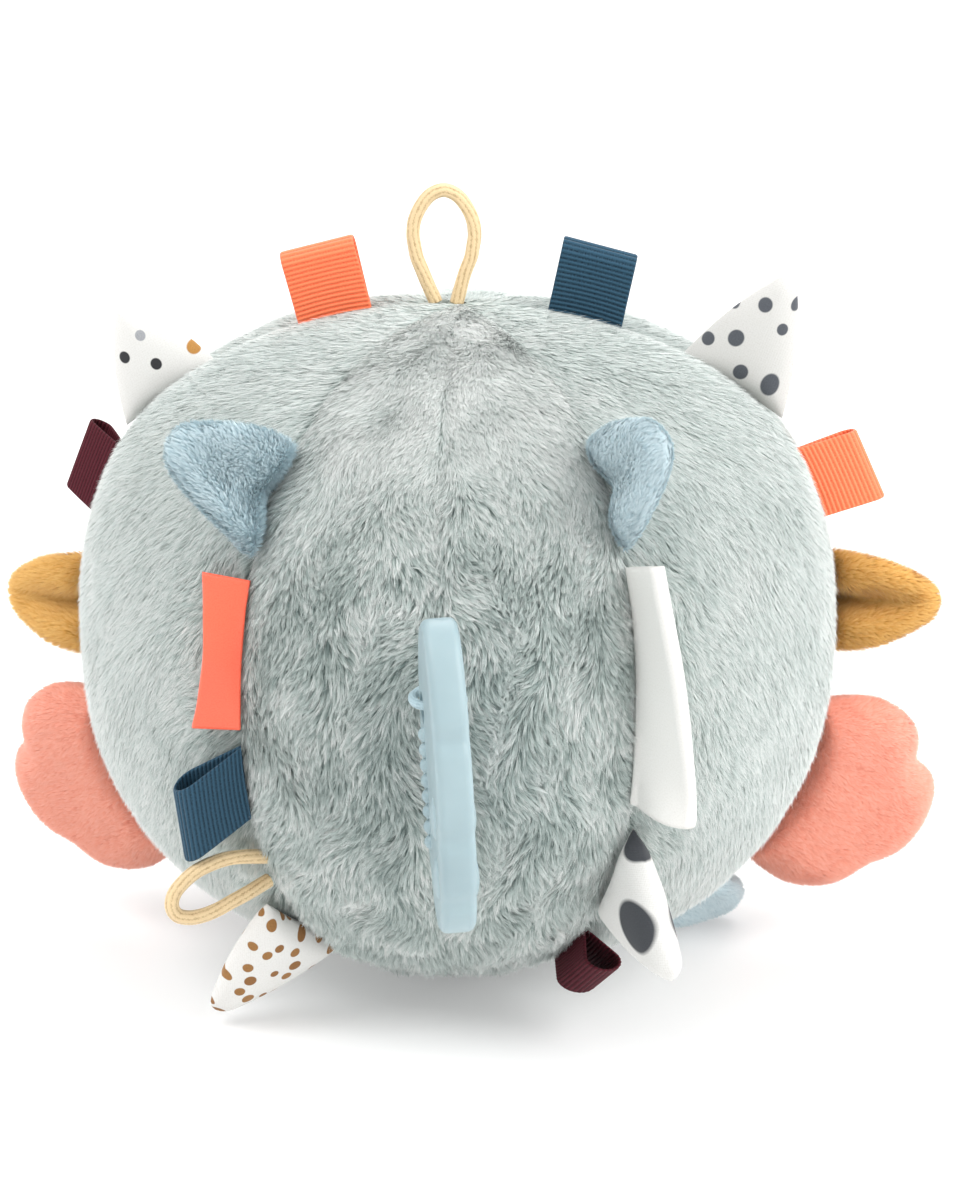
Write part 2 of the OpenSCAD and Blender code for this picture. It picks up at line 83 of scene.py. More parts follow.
def heading(bearing, elevation):
    b, e = np.radians(bearing), np.radians(elevation)
    return np.stack([np.cos(e) * np.sin(b), -np.cos(e) * np.cos(b), np.sin(e) + 0 * b], -1)


def plush(bearing, elevation, extra=0.0):
    bearing, elevation = np.broadcast_arrays(np.asarray(bearing, float), np.asarray(elevation, float))
    return CENTRE + (plush_r(bearing, elevation) + extra)[..., None] * heading(bearing, elevation)


def unit(v):
    return v / np.maximum(np.linalg.norm(v, axis=-1, keepdims=True), 1e-9)


def waves(points, wavelength, seed, count=9):
    """Soft noise made of a few random waves, from about -1 to 1, for points in millimetres."""
    rng = np.random.default_rng(seed)
    total = np.zeros(len(points))
    for _ in range(count):
        way = unit(rng.normal(size=3)) * 2 * np.pi / (wavelength * rng.uniform(0.7, 1.4))
        total += np.sin(points @ way + rng.uniform(0, 2 * np.pi))
    return total / math.sqrt(count)


# Lines


def steps(line):
    return np.linalg.norm(np.diff(line, axis=0), axis=1)


def run_along(line):
    return np.concatenate([[0], np.cumsum(steps(line))])


def resample(line, count):
    """The line cut into equal steps."""
    line = np.asarray(line, float)
    run = run_along(line)
    at = np.linspace(0, run[-1], count + 1)
    return np.stack([np.interp(at, run, line[:, k]) for k in range(line.shape[1])], -1)


# Meshes


def new_piece(name, points, faces):
    mesh = bpy.data.meshes.new(name)
    mesh.from_pydata(np.asarray(points) * MM, [], faces)
    mesh.update()
    piece = bpy.data.objects.new(name, mesh)
    scene.collection.objects.link(piece)
    mesh.polygons.foreach_set("use_smooth", np.ones(len(mesh.polygons), bool))
    return piece


def read_mesh(mesh, what="co"):
    found = np.empty(len(mesh.vertices) * 3)
    mesh.vertices.foreach_get(what, found)
    return found.reshape(-1, 3)


def select_only(piece):
    bpy.ops.object.select_all(action="DESELECT")
    bpy.context.view_layer.objects.active = piece
    piece.select_set(True)


def apply_modifiers(piece):
    select_only(piece)
    for modifier in list(piece.modifiers):
        bpy.ops.object.modifier_apply(modifier=modifier.name)


def face_out(piece, weld=0.0):
    """Turns every face outward, after corners that lie together are welded."""
    select_only(piece)
    bpy.ops.object.mode_set(mode="EDIT")
    bpy.ops.mesh.select_all(action="SELECT")
    if weld:
        bpy.ops.mesh.remove_doubles(threshold=weld)
    bpy.ops.mesh.normals_make_consistent(inside=False)
    bpy.ops.object.mode_set(mode="OBJECT")


def sheet_faces(rows, columns):
    row = np.arange(columns)
    low = (np.arange(rows)[:, None] * (columns + 1) + row).ravel()
    return np.stack([low, low + 1, low + columns + 2, low + columns + 1], -1)


def tube_faces(rings, sides, capped=True):
    """Faces between rings of corners, with a cap on each end."""
    k = np.arange(rings - 1)[:, None] * sides
    i = np.arange(sides)[None]
    j = (i + 1) % sides
    faces = np.stack([k + i, k + j, k + sides + j, k + sides + i], -1).reshape(-1, 4).tolist()
    if capped:
        faces.append(list(range(sides))[::-1])
        faces.append(list(range((rings - 1) * sides, rings * sides)))
    return faces


def triangles(faces):
    faces = np.asarray(faces)
    return np.concatenate([faces[:, [0, 1, 2]], faces[:, [0, 2, 3]]])


def corner_normals(points, tris):
    normals = np.zeros_like(points)
    flat = np.cross(points[tris[:, 1]] - points[tris[:, 0]], points[tris[:, 2]] - points[tris[:, 0]])
    for k in range(3):
        np.add.at(normals, tris[:, k], flat)
    return unit(normals)


MAP_PER_MM = 0.01


def cloth_map(piece, spread):
    """Gives each corner its place on the piece's flat cut."""
    chart = piece.data.uv_layers.new(name="cloth")
    corner = np.empty(len(piece.data.loops), int)
    piece.data.loops.foreach_get("vertex_index", corner)
    chart.uv.foreach_set("vector", spread[corner].ravel())


def finish_piece(piece, node, body, look):
    piece.data.materials.append(look)
    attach(piece, body)
    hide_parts(node)
    return piece


# Pile: thin blades that start on a backing, lie along a nap and gather into tufts

TUFT_TURN, TUFT_RISE, TUFT_TINT = 0.16, 0.13, 0.22
BLADE_TURN, BLADE_RISE, BLADE_DROOP, BLADE_TINT, BLADE_TILT = 0.2, 0.13, 0.12, 0.05, 0.5
# Ramp values of a long blade's corners, from root to tip: the low values at the root are painted shade deep
# in the pile
LONG_BLADE_PAINTED_SHADE = [0.25, 0.25, 0.62, 0.62, 0.9]
BLADE_CUTS = {3: ((0, 1, 2),), 5: ((0, 1, 2), (0, 2, 3), (3, 2, 4))}
BLADE_MAPS = {3: ([0, 4, 2], [0.32, 0.32, 0.98]), 5: ([0, 4, 4, 0, 2], [0.32, 0.32, 0.65, 0.65, 0.98])}
BLADE_FLATNESS = 0.45


def scatter(points, tris, count, rng):
    a, b, c = (points[tris[:, k]] for k in range(3))
    area = np.linalg.norm(np.cross(b - a, c - a), axis=1)
    edge = np.concatenate([[0], np.cumsum(area)])
    at = (np.arange(count) + rng.uniform(0, 1, count)) / count * edge[-1]
    which = np.clip(np.searchsorted(edge, at, side="right") - 1, 0, len(tris) - 1)
    u, v = rng.uniform(0, 1, (2, count))
    fold = u + v > 1
    u, v = np.where(fold, 1 - u, u), np.where(fold, 1 - v, v)
    share = np.stack([1 - u - v, u, v], -1)
    normals = corner_normals(points, tris)
    spots = np.einsum("nk,nkd->nd", share, points[tris[which]])
    return spots, unit(np.einsum("nk,nkd->nd", share, normals[tris[which]]))


def tufts(spots, spacing, rng):
    count = max(1, int(len(spots) / max(1.0, spacing)))
    chosen = rng.choice(len(spots), count, replace=False)
    tree = kdtree.KDTree(count)
    for k, i in enumerate(chosen):
        tree.insert(Vector(spots[i]), k)
    tree.balance()
    nearest = np.array([tree.find(Vector(p))[1] for p in spots])
    return chosen, nearest


def blades(spots, normals, nap, length, width, rise, droop, gather, tuft_size, rng, rough=1.0, short=None):
    """One blade for each spot. In rough pile the tufts turn, rise and differ in shade more than in smooth.

    A short blade is one straight triangle, given the values of its root and its tip; the root's lower value
    is painted shade deep in the pile."""
    count = len(spots)
    chosen, nearest = tufts(spots, tuft_size, rng)
    tuft_turn = rough * rng.normal(0, TUFT_TURN, len(chosen))[nearest]
    tuft_rise = rough * rng.normal(0, TUFT_RISE, len(chosen))[nearest]
    tuft_tint = rough * rng.normal(0, TUFT_TINT, len(chosen))[nearest]
    nap = unit(nap - np.sum(nap * normals, 1, keepdims=True) * normals)
    side = np.cross(normals, nap)
    turn = tuft_turn + rng.normal(0, BLADE_TURN, count)
    along = np.cos(turn)[:, None] * nap + np.sin(turn)[:, None] * side
    across = np.cross(normals, along)
    reach = (length * rng.normal(1, 0.14, count).clip(0.55, 1.35))[:, None]
    first = (rise + tuft_rise + rng.normal(0, BLADE_RISE, count)).clip(0.05, 1.45)[:, None]
    last = (droop + 0.6 * tuft_rise + rng.normal(0, BLADE_DROOP, count)).clip(-0.3, 1.2)[:, None]
    root = spots
    middle = root + 0.5 * reach * (np.cos(first) * along + np.sin(first) * normals)
    tip = middle + 0.5 * reach * (np.cos(last) * along + np.sin(last) * normals)
    heart = tip[chosen][nearest]
    pull = heart - tip
    pull -= np.sum(pull * normals, 1, keepdims=True) * normals
    far = np.linalg.norm(pull, axis=1, keepdims=True)
    pull *= np.minimum(1, 1.2 * reach / np.maximum(far, 1e-6))
    tip = tip + gather * pull
    middle = middle + 0.3 * gather * pull
    half = (0.5 * width * rng.uniform(0.7, 1.3, count))[:, None]
    tilt = rng.normal(0, BLADE_TILT, count)[:, None]
    flat = np.cos(tilt) * across + np.sin(tilt) * normals
    facing = np.cross(flat, tip - root)
    flat = np.where(np.sum(facing * normals, 1, keepdims=True) < 0, -flat, flat)
    shades = rng.normal(0, BLADE_TINT, count)[:, None] + tuft_tint[:, None]
    if short:
        corners = np.stack([root - half * flat, root + half * flat, tip], 1)
        return corners, (shades + [short[0], short[0], short[1]]).clip(0, 1)
    upper = 0.9 * half * flat
    corners = np.stack([root - half * flat, root + half * flat, middle + upper, middle - upper, tip], 1)
    return corners, (shades + LONG_BLADE_PAINTED_SHADE).clip(0, 1)


def add_pile(piece, corners, normals, tint, backing_painted_shade):
    """Joins the blades to the backing in one mesh, with each corner's tone and painted shade and a map from
    root to tip.

    A blade is shaded mostly as the cloth that it grows from, so that the pile looks soft, not papery."""
    mesh = piece.data
    old = len(mesh.vertices)
    points = read_mesh(mesh)
    faces = [tuple(p.vertices) for p in mesh.polygons]
    count, size = corners.shape[:2]
    first = old + size * np.arange(count)[:, None]
    blade = np.concatenate([first + np.array(cut) for cut in BLADE_CUTS[size]])
    every = np.concatenate([points, corners.reshape(-1, 3) * MM])
    loops = np.concatenate([np.array([v for f in faces for v in f], int), blade.ravel()])
    sizes = np.concatenate([np.array([len(f) for f in faces], int), np.full(len(blade), 3)])
    starts = np.concatenate([[0], np.cumsum(sizes)[:-1]])
    furry = bpy.data.meshes.new(piece.name)
    furry.vertices.add(len(every))
    furry.vertices.foreach_set("co", every.ravel())
    furry.loops.add(len(loops))
    furry.loops.foreach_set("vertex_index", loops)
    furry.polygons.add(len(sizes))
    furry.polygons.foreach_set("loop_start", starts)
    furry.polygons.foreach_set("use_smooth", np.ones(len(sizes), bool))
    furry.update(calc_edges=True)
    # Each corner's value is its random tone plus painted shade and painted light; the backing's value is
    # painted shade under the pile
    shades = furry.attributes.new("pile_tint", "FLOAT", "POINT")
    shades.data.foreach_set("value", np.concatenate([np.full(old, backing_painted_shade), tint.ravel()]))
    low, high = every.min(0), every.max(0)
    flat = (every - low) / (high - low)
    spread = np.empty((len(every), 2))
    spread[:old] = 0.02 + 0.26 * flat[:old, [0, 2]]
    rank = np.repeat(np.arange(count) / count, size)
    aside, upward = BLADE_MAPS[size]
    spread[old:, 0] = 0.01 + 0.97 * rank + 0.001 * np.tile(aside, count)
    spread[old:, 1] = np.tile(upward, count)
    chart = furry.uv_layers.new(name="OFBake")
    chart.uv.foreach_set("vector", spread[loops].ravel())
    lying = unit(np.cross(corners[:, 1] - corners[:, 0], corners[:, -1] - corners[:, 0]))
    soft = np.repeat(unit(normals + BLADE_FLATNESS * lying), size, 0)
    furry.normals_split_custom_set_from_vertices(np.concatenate([read_mesh(mesh, "normal"), soft]).tolist())
    piece.data = furry
    bpy.data.meshes.remove(mesh)


# Materials


def feed(tree, node, inputs):
    """Gives each input its value, or links it to another node's output."""
    for key, value in inputs.items():
        if isinstance(value, bpy.types.NodeSocket):
            tree.links.new(value, node.inputs[key])
        else:
            node.inputs[key].default_value = value


def add(tree, kind, inputs=None, **settings):
    node = tree.nodes.new(kind)
    for key, value in settings.items():
        setattr(node, key, value)
    feed(tree, node, inputs or {})
    return node


def maths(tree, operation, *terms, clamp=False):
    node = add(tree, "ShaderNodeMath", dict(enumerate(terms)), operation=operation, use_clamp=clamp)
    return node.outputs[0]


def noise(tree, place, scale, detail=2):
    return add(tree, "ShaderNodeTexNoise", {"Vector": place, "Scale": scale, "Detail": detail}).outputs["Fac"]


def bumped(tree, height, strength):
    inputs = {"Height": height, "Strength": strength, "Distance": 0.0001}
    return add(tree, "ShaderNodeBump", inputs).outputs["Normal"]


def ramp(tree, stops, share, stepped=False):
    node = add(tree, "ShaderNodeValToRGB", {"Fac": share})
    marks = node.color_ramp.elements
    while len(marks) < len(stops):
        marks.new(0.5)
    for mark, (place, colour) in zip(marks, stops):
        mark.position = place
        mark.color = (*colour, 1)
    if stepped:
        node.color_ramp.interpolation = "CONSTANT"
    return node.outputs["Color"]


def material(name):
    made = bpy.data.materials.new(name)
    made.use_nodes = True
    tree = made.node_tree
    return made, tree, tree.nodes["Principled BSDF"]


def flat_cut(tree):
    return add(tree, "ShaderNodeUVMap", uv_map="cloth").outputs["UV"]


def on_object(tree):
    return add(tree, "ShaderNodeTexCoord").outputs["Object"]


def attribute(tree, name):
    return add(tree, "ShaderNodeAttribute", attribute_name=name).outputs["Fac"]


def pile_material(name, root, middle, tip, sheen, blotch):
    """Plush: each blade is painted from a dark root, as painted shade deep in the pile, to a pale tip, with
    slow random patches over the cloth.
    """
    made, tree, shader = material(name)
    swing = maths(tree, "MULTIPLY_ADD", noise(tree, on_object(tree), 70, 3), blotch, -blotch / 2)
    tint = maths(tree, "ADD", attribute(tree, "pile_tint"), swing, clamp=True)
    colour = ramp(tree, [(0.0, root), (0.5, middle), (1.0, tip)], tint)
    feed(tree, shader, {"Base Color": colour, "Roughness": 0.8, "Specular IOR Level": 0.12,
                        "Sheen Weight": sheen, "Sheen Roughness": 0.5})
    return made


# Each ramp's darkest colour is painted shade, for the roots and the backing
SAGE = pile_material("sage_plush", (0.17, 0.225, 0.212), (0.505, 0.583, 0.556), (0.82, 0.83, 0.812), 0.4, 0.3)
BLUE = pile_material("blue_plush", (0.36, 0.50, 0.56), (0.50, 0.65, 0.70), (0.74, 0.855, 0.89), 0.4, 0.2)
MUSTARD = pile_material("mustard_plush", (0.52, 0.25, 0.045), (0.80, 0.44, 0.11), (0.90, 0.58, 0.20), 0.35,
                        0.2)
PINK = pile_material("pink_plush", (0.82, 0.27, 0.19), (0.93, 0.38, 0.27), (0.97, 0.49, 0.38), 0.35, 0.2)


# Camera, floor and light

VIEW_BEARING, VIEW_ELEVATION, VIEW_FAR, LENS = 3.7, 16.0, 742.0, 102.5
AIM_ACROSS, AIM_UP = 4.34, 5.86
LAMPS = (
    ("key_light", (-0.8, -0.5, 1.4), 13.0),
    ("fill_light", (1.1, -0.5, 0.9), 15.0),
    ("back_light", (0.1, 1.0, 1.2), 8.0),
)


def look_at(holder, place, target):
    holder.location = place
    holder.rotation_euler = Vector(np.subtract(target, place)).to_track_quat("-Z", "Y").to_euler()


def studio():
    aim_from = heading(VIEW_BEARING, VIEW_ELEVATION)
    eye = CENTRE + VIEW_FAR * aim_from
    across = np.array([math.cos(math.radians(VIEW_BEARING)), math.sin(math.radians(VIEW_BEARING)), 0])
    target = CENTRE + AIM_ACROSS * across + AIM_UP * np.cross(aim_from, across)
    lens = bpy.data.cameras.new("camera")
    lens.sensor_fit = "VERTICAL"
    lens.sensor_height = 36
    lens.lens = LENS
    lens.clip_start = 0.01
    lens.clip_end = 20
    camera = bpy.data.objects.new("camera", lens)
    scene.collection.objects.link(camera)
    look_at(camera, eye * MM, target * MM)
    scene.camera = camera

    bpy.ops.mesh.primitive_plane_add(size=6)
    floor = bpy.context.active_object
    floor.name = "floor"
    made, tree, shader = material("studio_floor")
    feed(tree, shader, {"Base Color": (0.78, 0.78, 0.78, 1), "Roughness": 0.7, "Emission Color": (1, 1, 1, 1),
                        "Emission Strength": 0.25})
    floor.data.materials.append(made)

    world = bpy.data.worlds.new("studio_air")
    world.use_nodes = True
    air = world.node_tree
    place = add(air, "ShaderNodeTexCoord").outputs["Generated"]
    depth = add(air, "ShaderNodeSeparateXYZ", {0: place}).outputs["Y"]
    fade = add(air, "ShaderNodeMapRange", {"Value": depth, "From Min": -0.9, "From Max": 0.3, "To Min": 0.72,
                                           "To Max": 1.02})
    feed(air, air.nodes["Background"], {"Strength": fade.outputs["Result"], "Color": (1, 1, 1, 1)})
    scene.world = world
    for name, place, power in LAMPS:
        lamp = bpy.data.lights.new(name, "AREA")
        lamp.size = 1.0
        lamp.energy = power
        holder = bpy.data.objects.new(name, lamp)
        scene.collection.objects.link(holder)
        look_at(holder, place, (0, 0, 0.07))
    scene.view_settings.view_transform = "Standard"


studio()

# Cloth, cord and rubber finishes


def shade(red, green, blue):
    """A colour as it is seen, from 0 to 255, as the linear colour that a shader takes."""
    seen = np.array([red, green, blue]) / 255
    return tuple(np.where(seen <= 0.04045, seen / 12.92, ((seen + 0.055) / 1.055) ** 2.4))


def cloth_threads():
    """Woven threads on a piece's flat cut: a height for bump and a slow, uneven shade."""
    group = bpy.data.node_groups.new("cloth_threads", "ShaderNodeTree")
    sockets = group.interface
    for name, start in (("Threads", 250.0), ("Slub scale", 300.0)):
        sockets.new_socket(name, in_out="INPUT", socket_type="NodeSocketFloat").default_value = start
    for name in ("Height", "Shade"):
        sockets.new_socket(name, in_out="OUTPUT", socket_type="NodeSocketFloat")
    given = add(group, "NodeGroupInput").outputs
    chart = flat_cut(group)
    parts = add(group, "ShaderNodeSeparateXYZ", {0: chart}).outputs
    swings = []
    for axis in ("X", "Y"):
        count = maths(group, "MULTIPLY", parts[axis], given["Threads"])
        swings.append(maths(group, "SINE", maths(group, "MULTIPLY", count, 2 * math.pi)))
    height = maths(group, "MULTIPLY_ADD", maths(group, "MULTIPLY", *swings), 0.5, 0.5)
    slub = noise(group, chart, given["Slub scale"], 3)
    add(group, "NodeGroupOutput", {"Height": height, "Shade": slub})
    return group


THREADS = cloth_threads()
RIBS_PER_MAP = 100


def woven(name, dark, light, threads, bump, roughness, sheen=0.1, ribs=0.0, gloss=0.5):
    """A woven cloth in one dyed colour, with its threads, its slubs and a soft sheen.

    Ribs across a tape, one a millimetre, are painted from a dark groove to a pale crest, as painted shade and
    painted light, and the weave's low points are painted darker as painted shade."""
    made, tree, shader = material(name)
    weave = add(tree, "ShaderNodeGroup", {"Threads": threads}, node_tree=THREADS).outputs
    slub = weave["Shade"]
    if ribs:
        along = add(tree, "ShaderNodeSeparateXYZ", {0: flat_cut(tree)}).outputs["X"]
        crest = maths(tree, "COSINE", maths(tree, "MULTIPLY", along, 2 * math.pi * RIBS_PER_MAP))
        slub = maths(tree, "MULTIPLY_ADD", crest, ribs, slub)
    # Thread height and ribs paint shade into the colour; the slubs are the yarn's random tone
    blend = maths(tree, "MULTIPLY_ADD", weave["Height"], 0.35, slub, clamp=True)
    ground = ramp(tree, [(0.25, dark), (0.75, light)], blend)
    feed(tree, shader, {"Base Color": ground, "Normal": bumped(tree, weave["Height"], bump),
                        "Roughness": roughness, "Specular IOR Level": gloss, "Sheen Weight": sheen})
    return made, tree, shader, ground, weave["Shade"]


def cotton(name, white):
    dark, light = shade(white - 14, white - 16, white - 21), shade(white, white - 1, white - 4)
    return woven(name, dark, light, 220.0, 0.25, 0.85)


def printed(tree, below, ink, slub, share):
    """Ink over the cloth below, flecked by its slubs."""
    fleck = add(tree, "ShaderNodeMix", {"Factor": 0.45, "A": ink, "B": slub}, data_type="RGBA",
                blend_type="MULTIPLY")
    inputs = {"Factor": share, "A": below, "B": fleck.outputs["Result"]}
    return add(tree, "ShaderNodeMix", inputs, data_type="RGBA").outputs["Result"]


def dotted_cotton(name, white, dots_per_m, small, large, inks, turn):
    """White cotton printed with round dots of uneven size, each in one of a few inks."""
    made, tree, shader, ground, slub = cotton(name, white)
    inputs = {"Vector": flat_cut(tree), "Rotation": (0, 0, math.radians(turn))}
    place = add(tree, "ShaderNodeMapping", inputs).outputs["Vector"]
    inputs = {"Vector": place, "Scale": dots_per_m, "Randomness": 0.62}
    cells = add(tree, "ShaderNodeTexVoronoi", inputs, voronoi_dimensions="2D").outputs
    pick = add(tree, "ShaderNodeSeparateColor", {0: cells["Color"]}).outputs
    size = maths(tree, "MULTIPLY_ADD", pick["Red"], large - small, small)
    inside = maths(tree, "SUBTRACT", size, cells["Distance"])
    share = maths(tree, "MULTIPLY", inside, 40.0, clamp=True)
    ink = ramp(tree, [(k / len(inks), colour) for k, colour in enumerate(inks)], pick["Green"], True)
    feed(tree, shader, {"Base Color": printed(tree, ground, ink, slub, share)})
    return made


POUCH_MAP = (0.5, 0.1)


def placed_dots(name, white, dots):
    """White cotton with a few dots: each one's middle and half sizes on the flat cut, and its ink."""
    made, tree, shader, below, slub = cotton(name, white)
    chart = flat_cut(tree)
    for along, out, wide, high, ink in dots:
        middle = (POUCH_MAP[0] + MAP_PER_MM * along, POUCH_MAP[1] + MAP_PER_MM * out, 0)
        size = (MAP_PER_MM * wide, MAP_PER_MM * high, 1)
        inputs = {"Vector": chart, "Location": middle, "Scale": size}
        spot = add(tree, "ShaderNodeMapping", inputs, vector_type="TEXTURE").outputs["Vector"]
        far = add(tree, "ShaderNodeVectorMath", {0: spot}, operation="LENGTH").outputs["Value"]
        edge = add(tree, "ShaderNodeMapRange", {"Value": far, "From Min": 1.08, "From Max": 0.92})
        below = printed(tree, below, (*ink, 1), slub, edge.outputs["Result"])
    feed(tree, shader, {"Base Color": below})
    return made


def round_dots(ink, *dots):
    return [(along, out, r, r, ink) for along, out, r in dots]


CHARCOAL = shade(70, 73, 78)
SLATE = shade(86, 90, 97)
BLACK_INK = shade(48, 48, 52)
PALE_INK = shade(176, 178, 182)
OCHRE = shade(196, 140, 66)
BROWNS = [shade(172, 122, 66), shade(160, 110, 58)]
MIXED_DOTS = (*round_dots(PALE_INK, (0.9, 14.2, 1.1)), *round_dots(BLACK_INK, (0.9, 7.8, 1.2)),
              *round_dots(OCHRE, (9.4, 7.4, 1.4)), *round_dots(BLACK_INK, (-4.6, 11.9, 1.2)))
GREY_DOTS = (*round_dots(SLATE, (2.3, 18.5, 1.5), (8.1, 15.8, 1.2), (4.4, 10.1, 1.7), (9.4, 7.5, 1.3),
                         (-3.4, 15.8, 1.2), (0.1, 4.4, 1.6), (4.5, 23.5, 1.0)),
             (-6.7, 5.1, 2.0, 2.3, SLATE), (-3.6, 21.4, 1.1, 1.5, SLATE))
LARGE_DOTS = ((2.0, 14.6, 4.6, 5.6, CHARCOAL), (13.0, 4.0, 3.4, 3.4, CHARCOAL))
# Each point's white is set for how the light falls on it: painted darker on the top right point and paler on
# the low left one, as painted shade and painted light
PRINTS = {
    "point_top_left": placed_dots("mixed_dots", 222, MIXED_DOTS),
    "point_top_right": placed_dots("grey_dots", 204, GREY_DOTS),
    "point_low_left": dotted_cotton("brown_dots", 230, 22.0, 0.2, 0.3, BROWNS, 10),
    "point_low_right": placed_dots("large_dots", 222, LARGE_DOTS),
}
ORANGE = ("orange_ribbon", shade(242, 84, 40), shade(255, 132, 84), 380.0, 0.3, 0.55, 0.2, 0.22)
NAVY = ("navy_ribbon", shade(4, 24, 37), shade(46, 81, 102), 380.0, 0.3, 0.6, 0.06, 0.22, 0.2)
MAROON = ("maroon_ribbon", shade(32, 5, 10), shade(88, 33, 43), 380.0, 0.3, 0.7, 0.0, 0.22, 0.15)
RIBBON_LOOKS = {row[0]: woven(*row)[0] for row in (ORANGE, NAVY, MAROON)}
ORANGE_SATIN = woven("orange_label", shade(247, 86, 58), shade(252, 106, 76), 500.0, 0.15, 0.42)[0]
WHITE_SATIN = woven("white_label", shade(212, 210, 204), shade(224, 223, 219), 500.0, 0.2, 0.5)[0]


def cord_look(name, dark, light):
    """A braided cord: ridges that run along it, painted dark between as painted shade, with fine threads
    across them.
    """
    made, tree, shader = material(name)
    weave = add(tree, "ShaderNodeGroup", {"Threads": 160.0, "Slub scale": 120.0}, node_tree=THREADS).outputs
    # The ridge height and the thread height paint the crests paler and the grooves darker: painted shade
    lift = maths(tree, "MULTIPLY_ADD", attribute(tree, "ridge"), 0.55, weave["Shade"])
    blend = maths(tree, "MULTIPLY_ADD", weave["Height"], 0.25, lift, clamp=True)
    feed(tree, shader, {"Base Color": ramp(tree, [(0.35, dark), (1.0, light)], blend),
                        "Normal": bumped(tree, weave["Height"], 0.4), "Roughness": 0.6, "Sheen Weight": 0.2})
    return made


ELASTIC = cord_look("elastic", shade(150, 114, 66), shade(226, 200, 156))
TIE_CORD = cord_look("tie_cord", shade(128, 152, 162), shade(166, 190, 198))


def rubber(name, dark, light, roughness, waxy=0.0):
    """Moulded silicone or plastic: a cloudy tint, a fine grain and a satin skin that is not quite even."""
    made, tree, shader = material(name)
    place = on_object(tree)
    cloud = noise(tree, place, 45, 4)
    inputs = {"Value": cloud, "To Min": roughness - 0.07, "To Max": roughness + 0.07}
    gloss = add(tree, "ShaderNodeMapRange", inputs).outputs["Result"]
    feed(tree, shader, {"Base Color": ramp(tree, [(0.3, dark), (0.7, light)], cloud), "Roughness": gloss,
                        "Normal": bumped(tree, noise(tree, place, 2600), 0.08)})
    if waxy:
        feed(tree, shader, {"Subsurface Weight": waxy, "Subsurface Radius": (0.002, 0.003, 0.004)})
    return made


SILICONE = rubber("silicone", shade(142, 163, 169), shade(156, 177, 182), 0.42, 0.15)
CAPSULE_PLASTIC = rubber("capsule", shade(226, 228, 226), shade(240, 241, 238), 0.3)
BEAD_PLASTIC = rubber("bead", shade(204, 196, 176), shade(222, 216, 198), 0.35)
FIBRE = rubber("stuffing", shade(232, 232, 228), shade(250, 250, 248), 0.9)


# Seats: where a sewn-in piece leaves its seam


def seat(bearing, elevation):
    origin = plush(bearing, elevation, SEAT_GAP)
    b = math.radians(bearing)
    across = np.array([math.cos(b), math.sin(b), 0.0])
    along = unit(plush(bearing, elevation + 0.5) - plush(bearing, elevation - 0.5))
    return origin, across, along, np.cross(across, along)


def on_seam(local, spot):
    """Points across, along and out of a seam, swept along it, leaned over it and put in the ball's frame."""
    bearing, elevation, lean, sweep = spot
    origin, across, along, out = seat(bearing, elevation)
    lean, sweep = math.radians(lean), math.radians(sweep)
    x, y, z = np.asarray(local, float).T
    y, z = y * math.cos(sweep) + z * math.sin(sweep), z * math.cos(sweep) - y * math.sin(sweep)
    x, z = x * math.cos(lean) + z * math.sin(lean), z * math.cos(lean) - x * math.sin(lean)
    return origin + x[:, None] * across + y[:, None] * along + z[:, None] * out


def on_seam_oblique(local, spot):
    """The same for a tape, whose root stays along the seam where it stands out of it obliquely."""
    bearing, elevation, lean, sweep = spot
    sweep = math.radians(sweep)
    x, y, z = np.asarray(local, float).T
    slanted = np.stack([x, y + z * math.sin(sweep), z * math.cos(sweep)], -1)
    return on_seam(slanted, (bearing, elevation, lean, 0))


# Stuffed pouches: two cloths sewn together at the edge, made plump and settled by a cloth simulation


def fill_outline(left, right, top, columns, rows):
    """A grid of points inside an outline of four edges, in along-seam and outward millimetres."""
    bottom = resample([left[0], right[0]], columns)
    top, left, right = resample(top, columns), resample(left, rows), resample(right, rows)
    u = np.linspace(0, 1, columns + 1)[None, :, None]
    v = np.linspace(0, 1, rows + 1)[:, None, None]
    mixed = (1 - v) * bottom[None] + v * top[None] + (1 - u) * left[:, None] + u * right[:, None]
    ends = (1 - u) * (1 - v) * bottom[0] + u * (1 - v) * bottom[-1] + (1 - u) * v * top[0] + u * v * top[-1]
    return mixed - ends


def bowed(start, end, bow, count=12):
    start, end = np.asarray(start, float), np.asarray(end, float)
    t = np.linspace(0, 1, count)[:, None]
    side = unit(np.array([-(end - start)[1], (end - start)[0]]))
    return start + t * (end - start) + bow * np.sin(np.pi * t) * side


def rooted(width, top, bow):
    """An outline from a straight root, up two bowed sides, to the given top."""
    return bowed((-width / 2, 0), top[0], bow), bowed((width / 2, 0), top[-1], -bow), top


def pointed_outline(width, length, tip_r, bow):
    turn = np.radians(np.linspace(150, 30, 13))
    top = np.stack([tip_r * np.cos(turn), length - tip_r + tip_r * np.sin(turn)], -1)
    return rooted(width, top, bow)


def toed_outline(width, toe_r, centre, upper, lower):
    """A paw with three round toes: a wide arc with a deep upper notch and a shallow lower one."""
    turn = np.linspace(-90, 90, 121)
    reach = toe_r - upper * np.exp(-(np.abs((turn - 42) / 12) ** 1.7))
    reach = reach - lower * np.exp(-(((turn + 42) / 14) ** 2))
    turn = np.radians(turn)
    top = np.stack([reach * np.sin(turn), centre + reach * np.cos(turn)], -1)
    return rooted(width, top, 0.5)


